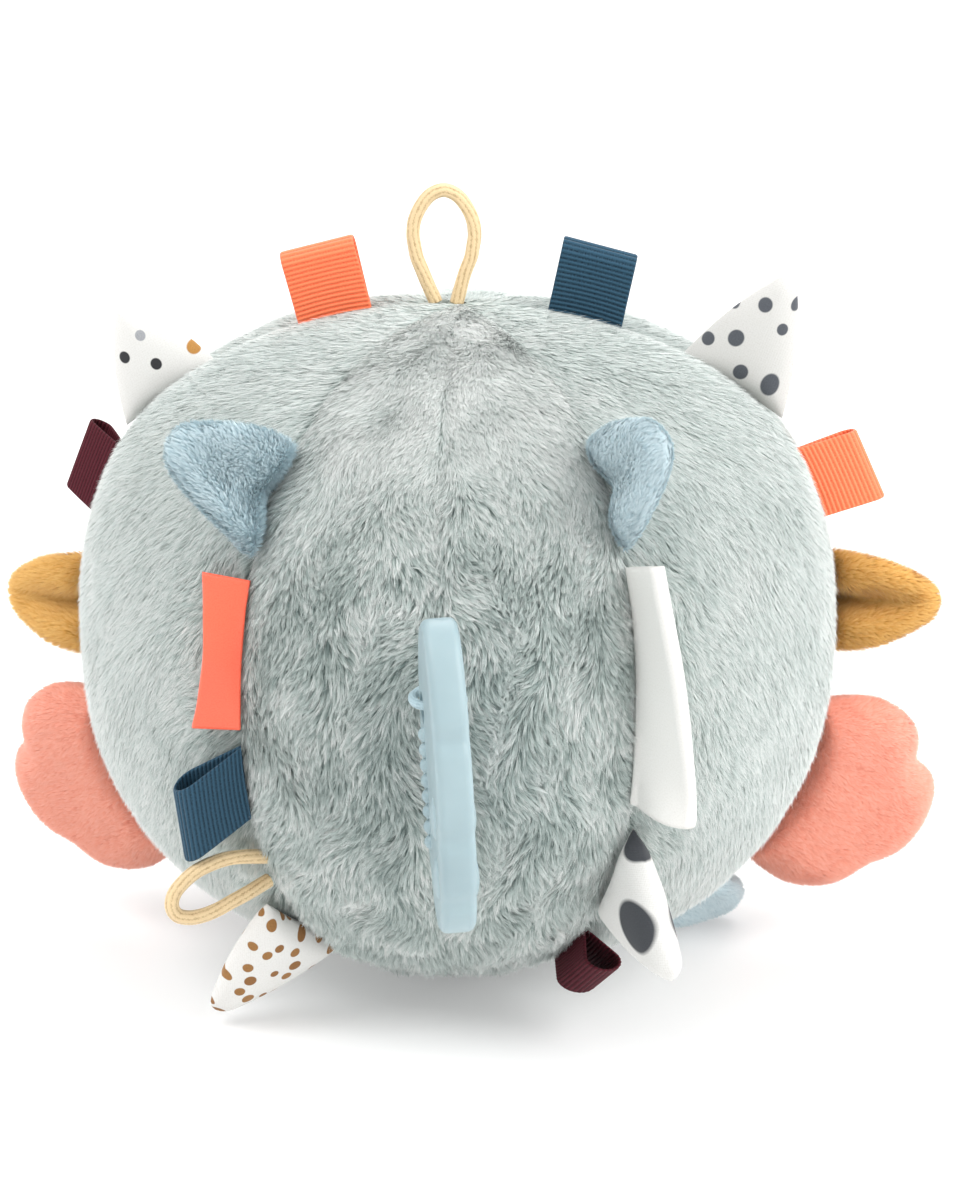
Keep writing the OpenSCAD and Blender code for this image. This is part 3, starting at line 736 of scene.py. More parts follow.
def sewn_pouch(outline, columns, rows):
    """The flat cut of both cloths, which face to +1 and -1 across the seam, and the corners of their root."""
    grid = fill_outline(*outline, columns, rows)
    high, wide, _ = grid.shape
    inside = np.ones((high, wide), bool)
    inside[[0, -1]] = False
    inside[:, [0, -1]] = False
    front = np.concatenate([np.where(inside, 1.0, 0.0)[..., None], grid], -1).reshape(-1, 3)
    back = front * [-1, 1, 1]
    first = np.arange(high * wide).reshape(high, wide)
    second = first.copy()
    second[inside] = high * wide + np.arange(inside.sum())
    points = np.concatenate([front, back[inside.ravel()]])
    faces = []
    for layer, turned in ((first, False), (second, True)):
        a, b, c, d = layer[:-1, :-1], layer[:-1, 1:], layer[1:, 1:], layer[1:, :-1]
        order = (a, d, c, b) if turned else (a, b, c, d)
        faces.append(np.stack(order, -1).reshape(-1, 4))
    return points, np.concatenate(faces), first[0]


SIM_SCALE = 0.02
SIM_FRAMES = 22
STIFFNESS = 25.0
DAMPING = 8
PRESSURE = 3.0
SETTLE_LIMIT = 1.0
ROOT_SINK = 1.6
FLOOR_CLEAR = 0.8


def settled(points, faces, pinned):
    """The pouch after its stuffing has swelled it, with its root held in the seam."""
    mesh = bpy.data.meshes.new("pouch")
    mesh.from_pydata(points * SIM_SCALE, [], faces.tolist())
    mesh.update()
    pouch = bpy.data.objects.new("pouch", mesh)
    scene.collection.objects.link(pouch)
    held = pouch.vertex_groups.new(name="root")
    held.add(pinned.tolist(), 1.0, "REPLACE")
    cloth = pouch.modifiers.new("cloth", "CLOTH").settings
    cloth.quality = 6
    cloth.mass = 0.2
    cloth.tension_stiffness = STIFFNESS
    cloth.compression_stiffness = STIFFNESS
    cloth.shear_stiffness = 0.4 * STIFFNESS
    cloth.bending_stiffness = 0.05
    cloth.tension_damping = DAMPING
    cloth.compression_damping = DAMPING
    cloth.shear_damping = DAMPING
    cloth.air_damping = 2
    cloth.vertex_group_mass = "root"
    cloth.use_pressure = True
    cloth.uniform_pressure_force = PRESSURE
    cloth.effector_weights.gravity = 0
    for k in range(1, SIM_FRAMES + 1):
        scene.frame_set(k)
    solved = pouch.evaluated_get(bpy.context.evaluated_depsgraph_get())
    found = read_mesh(solved.data)
    bpy.data.objects.remove(pouch)
    bpy.data.meshes.remove(mesh)
    scene.frame_set(1)
    return found / SIM_SCALE


def relaxed(points, faces, held, passes):
    """The points after each but the held ones has moved half way to its neighbours' middle a few times."""
    faces = np.asarray(faces)
    pairs = np.concatenate([faces[:, [k, (k + 1) % 4]] for k in range(4)])
    pairs = np.concatenate([pairs, pairs[:, ::-1]])
    shares = np.bincount(pairs[:, 0], minlength=len(points))[:, None]
    for _ in range(passes):
        middle = np.zeros_like(points)
        np.add.at(middle, pairs[:, 0], points[pairs[:, 1]])
        points = np.where(held[:, None], points, 0.5 * points + 0.5 * middle / shares)
    return points


def plump(flat, outline, thick, edge_r):
    """How far each point of a pouch stands out when it is stuffed: a round edge and a full middle."""
    edge = np.concatenate([resample(line, 90) for line in outline])
    gap = np.linalg.norm(flat[:, None, 1:] - edge[None], axis=-1).min(1)
    full = np.sqrt(1 - (1 - (gap / edge_r).clip(0, 1)) ** 2)
    return np.sign(flat[:, 0]) * thick / 2 * full


def seated_pouch(name, outline, spot, length, cells, thick, edge_r, curl=0.0, pleat=0.0, pleat_w=4.5):
    """A stuffed pouch set in its seam: its plump form, settled by at most a millimetre.

    Curl brings the pouch's sides forward, and a pleat draws in the middle of its root."""
    flat, faces, root = sewn_pouch(outline, *cells)
    start = flat.copy()
    start[:, 0] = plump(flat, outline, thick, edge_r)
    sewn = flat[:, 0] == 0
    start = relaxed(start, faces, sewn, 3)
    full = settled(start, faces, root)
    move = full - start
    far = np.linalg.norm(move, axis=1, keepdims=True)
    full = start + move * np.minimum(1, SETTLE_LIMIT / np.maximum(far, 1e-6))
    full = relaxed(full, faces, sewn, 5)
    _, y, z = full.T
    share = (z / length).clip(0, 1)
    aside = y / np.abs(flat[:, 1]).max()
    bent = full.copy()
    drawn = pleat * np.exp(-((y / pleat_w) ** 2)) * (1 - share)
    bent[:, 0] += curl * aside**2 * np.sin(np.pi * share) - drawn
    bent[:, 2] -= (1 - share) * (ROOT_SINK + y**2 / (2 * HALF_H))
    placed = on_seam(bent, spot)
    placed[:, 2] = np.maximum(placed[:, 2], FLOOR_CLEAR)
    piece = new_piece(name, placed, faces.tolist())
    cloth_map(piece, flat[:, 1:] * MAP_PER_MM + POUCH_MAP)
    smooth = piece.modifiers.new("smooth", "SUBSURF")
    smooth.levels = smooth.render_levels = 1
    apply_modifiers(piece)
    return piece


# Short pile's root and tip values and its backing's value are darker towards the root, as painted shade
SHORT_ROUGH, SHORT_PILE_PAINTED_SHADE, SHORT_TUFT, SHORT_TURN, POUCH_BACKING_PAINTED_SHADE = 0.6, (0.42, 0.95), 8, 14.0, 0.45


def plush_over(piece, spot, seed, count, length, width, gather, rise=0.85, droop=0.5, lift=0.0):
    """Short pile on a finished pouch, lying from its root to its tip."""
    mesh = piece.data
    tris = triangles([tuple(p.vertices) for p in mesh.polygons])
    rng = np.random.default_rng(seed)
    roots, normals = scatter(read_mesh(mesh) / MM, tris, count, rng)
    out = on_seam([[0, 0, 0], [0, 0, 1]], spot)
    nap = np.tile(out[1] - out[0], (count, 1))
    side = np.cross(normals, nap)
    swing = np.radians(SHORT_TURN * waves(roots, 9, seed + 1))[:, None]
    nap = np.cos(swing) * nap + np.sin(swing) * side
    corners, tint = blades(roots, normals, nap, length, width, rise, droop, gather, SHORT_TUFT, rng,
                           SHORT_ROUGH, SHORT_PILE_PAINTED_SHADE)
    corners[..., 2] = np.maximum(corners[..., 2], 0.1)
    # Lift paints the pile and its backing paler, as painted light on an ear that lies in shade
    add_pile(piece, corners, normals, (tint + lift).clip(0, 1), POUCH_BACKING_PAINTED_SHADE + lift)


# Tapes: ribbon and label loops, swept along a drop-shaped line


def drop_line(length, fold_r, root, step):
    """The middle line of a folded tape, from one sewn end round the fold to the other, evenly spaced."""
    middle = length - fold_r
    far = math.hypot(root, middle + ROOT_SINK)
    lift = math.atan2(middle + ROOT_SINK, -root) - math.asin(fold_r / far)
    run = math.sqrt(far * far - fold_r * fold_r)
    touch = (root + run * math.cos(lift), -ROOT_SINK + run * math.sin(lift))
    start = math.atan2(touch[1] - middle, touch[0])
    turn = np.linspace(start, math.pi - start, 60)
    arc = np.stack([fold_r * np.cos(turn), middle + fold_r * np.sin(turn)], -1)
    line = np.concatenate([[[root, -ROOT_SINK]], arc, [[-root, -ROOT_SINK]]])
    run = steps(line).sum()
    return resample(line, int(run / step)), run


def tape_mesh(name, line, columns, thick, place, rib=0.0, pitch=1.0):
    """A tape of real thickness along a line, with ribs across it that stop at its woven edges."""
    stations = len(line)
    ahead = unit(np.gradient(line, axis=0))
    out = np.stack([ahead[:, 1], -ahead[:, 0]], -1)
    run = run_along(line)
    columns = np.asarray(columns, float)
    edge = np.abs(columns).max()
    flat_edge = np.clip((edge - np.abs(columns)) / 0.5, 0, 1)
    bump = rib * np.cos(2 * np.pi * run / pitch)[:, None] * flat_edge[None]
    half = thick / 2 * (1 - 0.55 * (np.abs(columns) >= edge))[None] + bump
    ring = []
    for sign, order in ((1, slice(None)), (-1, slice(None, None, -1))):
        for y, h in zip(columns[order], half[:, order].T):
            spot = line + sign * h[:, None] * out
            ring.append(np.stack([spot[:, 0], np.full(stations, y), spot[:, 1]], -1))
    grid = np.stack(ring, 1)
    sides = grid.shape[1]
    points = place(grid.reshape(-1, 3), np.repeat(run / run[-1], sides))
    piece = new_piece(name, points, tube_faces(stations, sides))
    cloth_map(piece, np.stack([np.repeat(run, sides), grid[..., 1].ravel()], -1) * MAP_PER_MM + 0.5)
    face_out(piece)
    return piece


# Gores of plush

PILE_DEPTH = 1.6
GORE_ROWS, GORE_CELL = 72, 1.5
DRAWN_IN, DRAWN_IN_MIDDLE, DRAWN_W = 1.2, 0.3, 2.5
# Gore blades' root and tip values: the low root value is painted shade deep in the pile
BLADE_W, GORE_BLADE_PAINTED_SHADE, TUFT_SIZE = 0.18, (0.06, 0.94), 9
POLE_SPREAD = 26
GORES = (
    ("panel_back_left", -30, 0, 0.0, 188000),
    ("panel_back_right", 0, 30, 0.0, 188000),
    ("panel_right_rear", 30, 90, 14.0, 188000),
    ("panel_right_front", 90, 150, 10.0, 150000),
    ("panel_front", 150, 210, 0.0, 150000),
    ("panel_left_front", -150, -90, -10.0, 150000),
    ("panel_left_rear", -90, -30, -30.0, 188000),
)


def brushed(bearing):
    """The part of the cover between the two blue ears, where the pile is brushed up."""
    return np.exp(-((bearing / 38) ** 4))


def ruffle(bearing):
    """How rough the pile is: most where it is brushed up, and combed smooth round the sides."""
    return 0.3 + 1.15 * brushed(bearing) + 0.4 * ((np.abs(bearing) - 90) / 60).clip(0, 1)


def fullness(bearing, elevation):
    """How much fuller than its solid the soft cover is: over the middle seam and high on both sides."""
    middle = 1.3 * np.exp(-((bearing / 10) ** 2)) * np.cos(np.radians(elevation))
    right = 2.6 * np.exp(-(((bearing - 72) / 28) ** 2) - ((elevation - 33) / 20) ** 2)
    left = 2.4 * np.exp(-(((bearing + 82) / 28) ** 2) - ((elevation - 32) / 18) ** 2)
    return middle + right + left


def gore(node, start, end, nap_turn, count, seed):
    rows, columns = GORE_ROWS, int((end - start) / GORE_CELL)
    e = -PATCH_ANGLE + (CROWN_ANGLE + PATCH_ANGLE) * np.arange(rows + 1)[:, None] / rows
    share = np.arange(columns + 1)[None, :] / columns
    b = start + (end - start) * share + 0 * e
    e = np.broadcast_to(e, b.shape)
    near = np.minimum(share, 1 - share) * (end - start) * np.cos(np.radians(e)) * np.radians(HALF_W)
    drawn_in = np.where(np.abs(b) < 15, DRAWN_IN_MIDDLE, DRAWN_IN)
    sink = PILE_DEPTH + drawn_in * np.cos(np.radians(e)) * np.exp(-((near / DRAWN_W) ** 2))
    spots = plush(b, e, 0).reshape(-1, 3)
    lumps = (0.35 * waves(spots, 16, seed) + 0.2 * waves(spots, 7, seed + 1)).reshape(b.shape)
    lumps *= (1 - np.exp(-((near / 3) ** 2))) * np.minimum(1, ruffle(b))
    points = plush(b, e, lumps - sink + fullness(b, e)).reshape(-1, 3)
    points[:, 2] = np.maximum(points[:, 2], 0.2)
    faces = sheet_faces(rows, columns)
    piece = new_piece(node + "_plush", points, faces.tolist())
    rng = np.random.default_rng(seed)
    roots, normals = scatter(points, triangles(faces), count, rng)
    away = roots - CENTRE
    east = unit(np.stack([-away[:, 1], away[:, 0], 0 * away[:, 0]], -1))
    down = np.cross(east, normals)
    down = np.where(down[:, 2:] > 0, -down, down)
    crown = ((normals[:, 2] - 0.35) / 0.45).clip(0, 1)
    top = ((normals[:, 2] - 0.66) / 0.2).clip(0, 1)
    pole = np.exp(-((np.hypot(away[:, 0], away[:, 1]) / POLE_SPREAD) ** 2)) * (away[:, 2] > 0)
    bearing = np.degrees(np.arctan2(away[:, 0], -away[:, 1]))
    rough = ruffle(bearing) * (1 - 0.6 * crown)
    turn = np.radians(nap_turn + rough * (22 * waves(roots, 30, seed + 2) + 24 * waves(roots, 13, seed + 3)))
    nap = np.cos(turn)[:, None] * down + np.sin(turn)[:, None] * east
    parted = waves(roots, 13, seed + 4)
    rise = 0.36 + 0.14 * rough + 0.18 * rough * parted - 0.38 * pole
    droop = 0.12 - 0.16 * pole
    corners, tint = blades(roots, normals, nap, 3.0 + 0.7 * rough, BLADE_W, rise, droop, 0.5 * rough[:, None],
                           TUFT_SIZE, rng, rough, GORE_BLADE_PAINTED_SHADE)
    # Painted light by how the pile faces: brushed-up pile that faces up on the crown is painted paler, and
    # the rest of the crown darker
    lift = brushed(bearing) * (0.12 * crown + 0.2 * top) - 0.09 * (1 - brushed(bearing)) * crown
    # Smooth pile is painted paler as a painted sheen, and pile that stands up where it parts is painted
    # darker as painted shade
    tint += (0.22 * (1 - rough) + lift - 0.1 * rough * parted)[:, None]
    # At the pole the roots and middles are painted paler, as painted light over the shade there
    tint[:, :2] += 0.2 * pole[:, None]
    corners[..., 2] = np.maximum(corners[..., 2], 0.05)
    # The backing's 0.2 is painted shade under the pile
    add_pile(piece, corners, normals, tint.clip(0, 1), 0.2)
    finish_piece(piece, node, "ball", SAGE)


for k, row in enumerate(GORES):
    gore(*row, 100 + 10 * k)


# The bottom patch that closes the gores, with the same pile


def bottom_patch():
    rings, spokes, count = 8, 48, 3000

    def height(r):
        return 0.4 + 1.6 * (r / PATCH_R) ** 4

    r = PATCH_R * np.arange(rings + 1)[:, None] / rings
    turn = 2 * np.pi * np.arange(spokes)[None] / spokes
    points = np.stack([r * np.cos(turn), r * np.sin(turn), height(r) + 0 * turn], -1).reshape(-1, 3)
    piece = new_piece("bottom_patch_plush", points, tube_faces(rings + 1, spokes, False))
    select_only(piece)
    bpy.ops.object.mode_set(mode="EDIT")
    bpy.ops.mesh.select_all(action="SELECT")
    bpy.ops.mesh.remove_doubles(threshold=0.00001)
    bpy.ops.object.mode_set(mode="OBJECT")
    rng = np.random.default_rng(90)
    reach = PATCH_R * np.sqrt(rng.uniform(0, 1, count))
    turn = rng.uniform(0, 2 * np.pi, count)
    roots = np.stack([reach * np.cos(turn), reach * np.sin(turn), height(reach)], -1)
    normals = np.tile([0.0, 0.0, -1.0], (count, 1))
    nap = np.stack([np.cos(turn), np.sin(turn), 0 * turn], -1)
    corners, tint = blades(roots, normals, nap, 3.5, 0.3, 0.12, 0.0, 0.3, 20, rng)
    corners[..., 2] = np.maximum(corners[..., 2], 0.05)
    add_pile(piece, corners, normals, tint, 0.3)
    finish_piece(piece, "bottom_patch", "ball", SAGE)


bottom_patch()


# Filling and rattle inside the cover

COVER_DEPTH, POCKET_R, FLAT_GAP = 7.5, 20.5, 0.6


def filling(node, start, end, side, seed):
    """A lump of fibre: the cover's shape less its thickness, with the capsule's pocket in its flat side."""
    rows, columns = 24, 96
    e = np.linspace(start, end, rows + 1)[:, None]
    b = np.linspace(-180, 180, columns + 1)[:-1][None] + 0 * e
    e = e + 0 * b
    spots = plush(b, e, -7.0).reshape(-1, 3)
    lumps = 0.8 * waves(spots, 14, seed) + 0.5 * waves(spots, 5, seed + 1)
    shell = plush(b, e, lumps.reshape(b.shape) - COVER_DEPTH)
    ring = shell[0] if side > 0 else shell[-1]
    level = CENTRE_Z + side * FLAT_GAP
    shell[..., 2] = np.where(side * (shell[..., 2] - level) < 0, level, shell[..., 2])
    rim = np.stack([ring[:, 0], ring[:, 1], np.full(columns, level)], -1)
    flat = unit(unit(rim - CENTRE) * [1, 1, 0])
    pocket = []
    for turn in np.radians(np.linspace(0, 86, 9)):
        pocket.append(CENTRE + POCKET_R * (math.cos(turn) * flat + math.sin(turn) * np.array([0, 0, side])))
    pocket[0][:, 2] = level
    grid = np.concatenate([shell[::-side], [rim], pocket])
    piece = new_piece(node + "_fibre", grid.reshape(-1, 3), tube_faces(len(grid), columns))
    face_out(piece, 0.000001)
    finish_piece(piece, node, "ball", FIBRE)


filling("stuffing_upper", 0.0, 88.0, 1, 61)
filling("stuffing_lower", -88.0, 0.0, -1, 71)
for node, look in (
    ("capsule_lower", CAPSULE_PLASTIC),
    ("capsule_upper", CAPSULE_PLASTIC),
    ("rattle_ball", BEAD_PLASTIC),
):
    bpy.data.objects[node].data.materials.clear()
    bpy.data.objects[node].data.materials.append(look)


# Elastic loops and the teether's tie

CORD_STEP, CORD_SIDES, CORD_RIDGES, CORD_RIB = 0.2, 48, 8, 0.6


def smooth_route(route):
    """A smooth line through the route's points, evenly spaced."""
    route = np.asarray(route, float)
    ends = np.concatenate([[2 * route[0] - route[1]], route, [2 * route[-1] - route[-2]]])
    t = np.linspace(0, 1, 24, endpoint=False)[:, None]
    parts = []
    for a, b, c, d in zip(ends[:-3], ends[1:-2], ends[2:-1], ends[3:]):
        bend, twist = 2 * a - 5 * b + 4 * c - d, 3 * b - a - 3 * c + d
        parts.append(0.5 * (2 * b + (c - a) * t + bend * t**2 + twist * t**3))
    line = np.concatenate([*parts, route[-1:]])
    length = run_along(line)[-1]
    return resample(line, int(length / CORD_STEP)), length


def covered_cord(node, body, route, diameter, look, sunk=0.0):
    """A cord in a knitted sleeve: ridges along it, finer ribs round it, and its ends sunk in the pile."""
    shown, length = smooth_route(route)
    line = shown
    if sunk:
        step = np.arange(sunk, 0, -0.25)[:, None]
        line = np.concatenate([shown[:1] + step * unit(shown[:1] - shown[3:4]), shown,
                               shown[-1:] + step[::-1] * unit(shown[-1:] - shown[-4:-3])])
    ahead = unit(np.gradient(line, axis=0))
    first = unit(np.cross(ahead[0], [0.3, 1.0, 0.2]))
    frames = []
    for way in ahead:
        first = unit(first - np.dot(first, way) * way)
        frames.append((first, np.cross(way, first)))
    run = CORD_STEP * np.arange(len(line))[:, None]
    turn = 2 * np.pi * np.arange(CORD_SIDES)[None] / CORD_SIDES
    ridge = np.abs(np.cos(CORD_RIDGES / 2 * (turn + 0.05 * run)))
    r = diameter / 2 * (0.92 + 0.08 * ridge + 0.02 * np.cos(2 * np.pi * run / CORD_RIB))
    u, v = np.array(frames).transpose(1, 0, 2)[:, :, None]
    grid = line[:, None] + r[..., None] * (np.cos(turn)[..., None] * u + np.sin(turn)[..., None] * v)
    piece = new_piece(node + "_cord", grid.reshape(-1, 3), tube_faces(len(line), CORD_SIDES))
    # The ridge height is also read by the finish, which paints shade into the grooves from it
    height = piece.data.attributes.new("ridge", "FLOAT", "POINT")
    height.data.foreach_set("value", ridge.ravel())
    spread = np.stack([run + 0 * turn, (turn * diameter / 2) + 0 * run], -1).reshape(-1, 2)
    cloth_map(piece, spread * MAP_PER_MM + 0.1)
    face_out(piece, 0.000001)
    finish_piece(piece, node, body, look)


TOP_LOOP = ((-6, 0, 146.2), (-7, 0, 148.5), (-8, 0, 151), (-9, 0, 153.5), (-9.5, 0, 156), (-9.8, 0, 158.5),
            (-9.4, 0, 161.5), (-8, 0, 164.5), (-6, 0, 166.8), (-3.3, 0, 167.8), (-0.6, 0, 166.8),
            (1.4, 0, 164.5), (2.8, 0, 161.5), (3.2, 0, 158.5), (2.9, 0, 156), (2.4, 0, 153.5), (1.4, 0, 151),
            (0.6, 0, 148.5), (0, 0, 146.2))
SIDE_LOOP = ((-37, -65.5, 42.5), (-39.5, -67.2, 43), (-42.5, -68.5, 43), (-45.5, -69.7, 42.3),
             (-48.5, -70.8, 41), (-51, -71.8, 39), (-52.8, -72.5, 36.7), (-53.3, -72.8, 34.2),
             (-52.3, -72.5, 32.2), (-50, -71.7, 31.4), (-47.3, -70.7, 31.6), (-44.5, -69.6, 32.5),
             (-41.8, -68.5, 33.8), (-39, -67, 35), (-36.6, -65, 36))
ELASTIC_D, ELASTIC_SUNK = 3.0, 2.5
covered_cord("elastic_loop_top", "ball", TOP_LOOP, ELASTIC_D, ELASTIC, ELASTIC_SUNK)
covered_cord("elastic_loop_side", "ball", SIDE_LOOP, ELASTIC_D, ELASTIC, ELASTIC_SUNK)

TIE_E, TIE_D, TIE_HALF, EYE_OUT, TEETHER_YAW = 8.0, 1.8, 4.8, 13.5, 10.0
TIE_SHARES = ((0.24, 0.05), (0.45, 0.16), (0.72, 0.3), (0.92, 0.45), (1, 0.6), (0.97, 0.76), (0.82, 0.9),
              (0.55, 0.98), (0.25, 1))


def teether_frame(local):
    """Points across, out of and up from the tie's seam, turned with the teether, in the ball's frame."""
    turn = math.radians(TEETHER_YAW)
    across = np.array([math.cos(turn), math.sin(turn), 0.0])
    out = np.array([math.sin(turn), -math.cos(turn), 0.0])
    local = np.asarray(local, float)
    start = plush(0.0, TIE_E, SEAT_GAP)
    return start + local[:, :1] * across + local[:, 1:2] * out + local[:, 2:3] * np.array([0, 0, 1.0])


half_tie = np.array([(-x * TIE_HALF, y * EYE_OUT, 0) for x, y in TIE_SHARES])
tie_route = teether_frame(np.concatenate([half_tie, half_tie[::-1] * [-1, 1, 1]]))
covered_cord("teether_tie", "tie", tie_route, TIE_D, TIE_CORD)

# The teether: a lobed silicone plate with an eye, a bead row on each face and ridges to bite on

TEETHER_H, TEETHER_W, TEETHER_T, TEETHER_ROLL, TEETHER_EDGE = 62.0, 30.0, 7.0, 3.0, 1.7
EYE_IN, EYE_UP, EYE_R = 6.5, 12.0, 3.2
LOBE_GROOVES = (11.3, -7.9, -22.1)
GROOVE_DEPTH, GROOVE_HALF = 1.1, 2.0
BEADS, BEAD_PITCH, BEAD_SINK, BEAD_IN, BEAD_MIDDLE, BEAD_SIZE = 8, 3.1, 0.7, -6.0, -4.0, (1.87, 1.7, 1.6)
RIDGE_LEVELS, RIDGE_SINK, RIDGE_OUT, RIDGE_SIZE = (-6.0, -18.0), 0.6, 6.0, (1.5, 3.2, 4.6)


def rounded_lump(place, size):
    """A moulded lump: a ball that is drawn out and flattened to its size."""
    bpy.ops.mesh.primitive_uv_sphere_add(segments=24, ring_count=14, radius=MM, scale=size,
                                         location=[v * MM for v in place])
    lump = bpy.context.active_object
    select_only(lump)
    bpy.ops.object.transform_apply(location=True, rotation=True, scale=True)
    return lump


def teether():
    points = 240
    bpy.ops.object.select_all(action="DESELECT")
    bpy.ops.mesh.primitive_circle_add(vertices=points, radius=MM, fill_type="NGON")
    plate = bpy.context.active_object
    plate.name = "teether_plate"
    for k, vertex in enumerate(plate.data.vertices):
        turn = 2 * math.pi * k / points
        out, up = TEETHER_W / 2 * math.cos(turn), TEETHER_H / 2 * math.sin(turn)
        groove = sum(math.exp(-(((up - level) / GROOVE_HALF) ** 2)) for level in LOBE_GROOVES)
        out *= 1 - GROOVE_DEPTH * groove / (TEETHER_W / 2)
        vertex.co = Vector((-TEETHER_T / 2, out, up)) * MM
    bpy.ops.object.mode_set(mode="EDIT")
    bpy.ops.mesh.select_all(action="SELECT")
    bpy.ops.mesh.extrude_region_move(TRANSFORM_OT_translate={"value": (TEETHER_T * MM, 0, 0)})
    bpy.ops.object.mode_set(mode="OBJECT")
    face_out(plate)
    soften = plate.modifiers.new("moulded_edge", "BEVEL")
    soften.width = TEETHER_EDGE * MM
    soften.segments = 5
    soften.limit_method = "ANGLE"
    soften.angle_limit = math.radians(60)
    apply_modifiers(plate)
    bpy.ops.mesh.primitive_cylinder_add(vertices=64, radius=EYE_R * MM, depth=3 * TEETHER_T * MM,
                                        location=(0, -EYE_IN * MM, EYE_UP * MM), rotation=(0, math.pi / 2, 0))
    core = bpy.context.active_object
    select_only(core)
    bpy.ops.object.transform_apply(location=True, rotation=True, scale=True)
    cut = plate.modifiers.new("eye", "BOOLEAN")
    cut.operation = "DIFFERENCE"
    cut.object = core
    cut.solver = "EXACT"
    apply_modifiers(plate)
    bpy.data.objects.remove(core)
    face = TEETHER_T / 2
    lumps = []
    for side in (-1, 1):
        for k in range(BEADS):
            level = BEAD_MIDDLE + BEAD_PITCH * (k - (BEADS - 1) / 2)
            lumps.append(rounded_lump((side * (face - BEAD_SINK), BEAD_IN, level), BEAD_SIZE))
        for level in RIDGE_LEVELS:
            lumps.append(rounded_lump((side * (face - RIDGE_SINK), RIDGE_OUT, level), RIDGE_SIZE))
    select_only(plate)
    for lump in lumps:
        lump.select_set(True)
    bpy.ops.object.join()
    select_only(plate)
    bpy.ops.object.shade_smooth_by_angle(angle=math.radians(35))
    x, out, up = (read_mesh(plate.data) / MM).T
    out, up = out + EYE_IN, up - EYE_UP
    roll = math.radians(-TEETHER_ROLL)
    x, up = x * math.cos(roll) + up * math.sin(roll), up * math.cos(roll) - x * math.sin(roll)
    placed = teether_frame(np.stack([x, out + EYE_OUT, up], -1))
    plate.data.vertices.foreach_set("co", (placed * MM).ravel())
    plate.data.update()
    plate.data.materials.clear()
    face_out(plate)
    finish_piece(plate, "teether", "teether", SILICONE)


teether()

# Ribbon loops of ribbed tape

RIBBON_W, RIBBON_T, RIB_PITCH, RIB_RISE = 16.0, 0.6, 1.0, 0.11
RIBBON_COLUMNS = (-8, -7.75, -7.4, -7.0, -3.5, 0, 3.5, 7.0, 7.4, 7.75, 8)
RIBBONS = (
    ("ribbon_top_left", (-90, 69, 0, 0), 13.5, 2.2, "orange_ribbon", 11),
    ("ribbon_top_right", (90, 69, 0, 0), 13.5, 2.2, "navy_ribbon", 12),
    ("ribbon_left", (-90, 22.8, -55, 0), 13.5, 2.2, "maroon_ribbon", 13),
    ("ribbon_right", (90, 24, 20, -8), 13.5, 2.2, "orange_ribbon", 14),
    ("ribbon_back_left", (-30, -10, -52, -28), 14.0, 3.4, "navy_ribbon", 15),
    ("ribbon_bottom", (30, -46, -5, 35), 11.0, 3.6, "maroon_ribbon", 16),
)


def ribbon(node, spot, length, fold_r, slot, seed):
    line, run = drop_line(length, fold_r, 0.4, 0.12)
    rng = np.random.default_rng(seed)
    sag, skew, twist = rng.uniform(-0.5, 0.5), rng.uniform(-0.04, 0.04), rng.uniform(-0.05, 0.05)

    def place(local, share):
        x, y, z = local.T
        high = (z / length).clip(0, 1)
        x = x + sag * np.sin(np.pi * share * 2) * 0.6 + twist * y * high
        y = y + skew * z
        z = z - (1 - high) * y**2 / (2 * HALF_H) + 0.012 * y * high
        return on_seam_oblique(np.stack([x, y, z], -1), spot)

    piece = tape_mesh(node + "_tape", line, RIBBON_COLUMNS, RIBBON_T, place, RIB_RISE, RIB_PITCH)
    finish_piece(piece, node, node, RIBBON_LOOKS[slot])


for row in RIBBONS:
    ribbon(*row)

# The orange flag and the folded white label, both bare

FLAG_W, FLAG_LEN, FLAG_T, FLAG_FOLD_R, FLAG_E = 31.0, 7.5, 0.35, 0.45, 9.5
LABEL_W, LABEL_LEN, LABEL_T, LABEL_FOLD_R, LABEL_E = 50.0, 12.0, 0.35, 1.5, 5.5
LABEL_LEAN_BOTTOM, LABEL_HANG = 50.0, -9.0


def along_seam(local, bearing, middle_e, lean_at, sweep=0.0):
    """Places a wide tape column by column: its root follows the seam and each column has its own lean."""
    points = np.empty_like(local)
    for y in np.unique(local[:, 1]):
        mine = local[:, 1] == y
        e = middle_e + math.degrees(y / HALF_W)
        points[mine] = on_seam(local[mine] * [1, 0, 1], (bearing, e, lean_at(y), sweep))
    return points


def flag_label():
    line, run = drop_line(FLAG_LEN, FLAG_FOLD_R, 0.3, 0.35)
    columns = np.linspace(-FLAG_W / 2, FLAG_W / 2, 41)

    def lean(y):
        return -66 + 22 * math.exp(-(((y + 1.5) / 7.5) ** 2))

    def place(local, share):
        local = local.copy()
        y = local[:, 1]
        high = (local[:, 2] / FLAG_LEN).clip(0, 1)
        local[:, 2] *= 1 + high * (0.3 * (2 * y / FLAG_W) ** 2 - 0.2)
        local[:, 0] += high * 0.5 * np.sin(y / 4.4 + 0.6)
        return along_seam(local, -30, FLAG_E, lean)

    piece = tape_mesh("flag_label_satin", line, columns, FLAG_T, place)
    finish_piece(piece, "flag_label", "flag_label", ORANGE_SATIN)


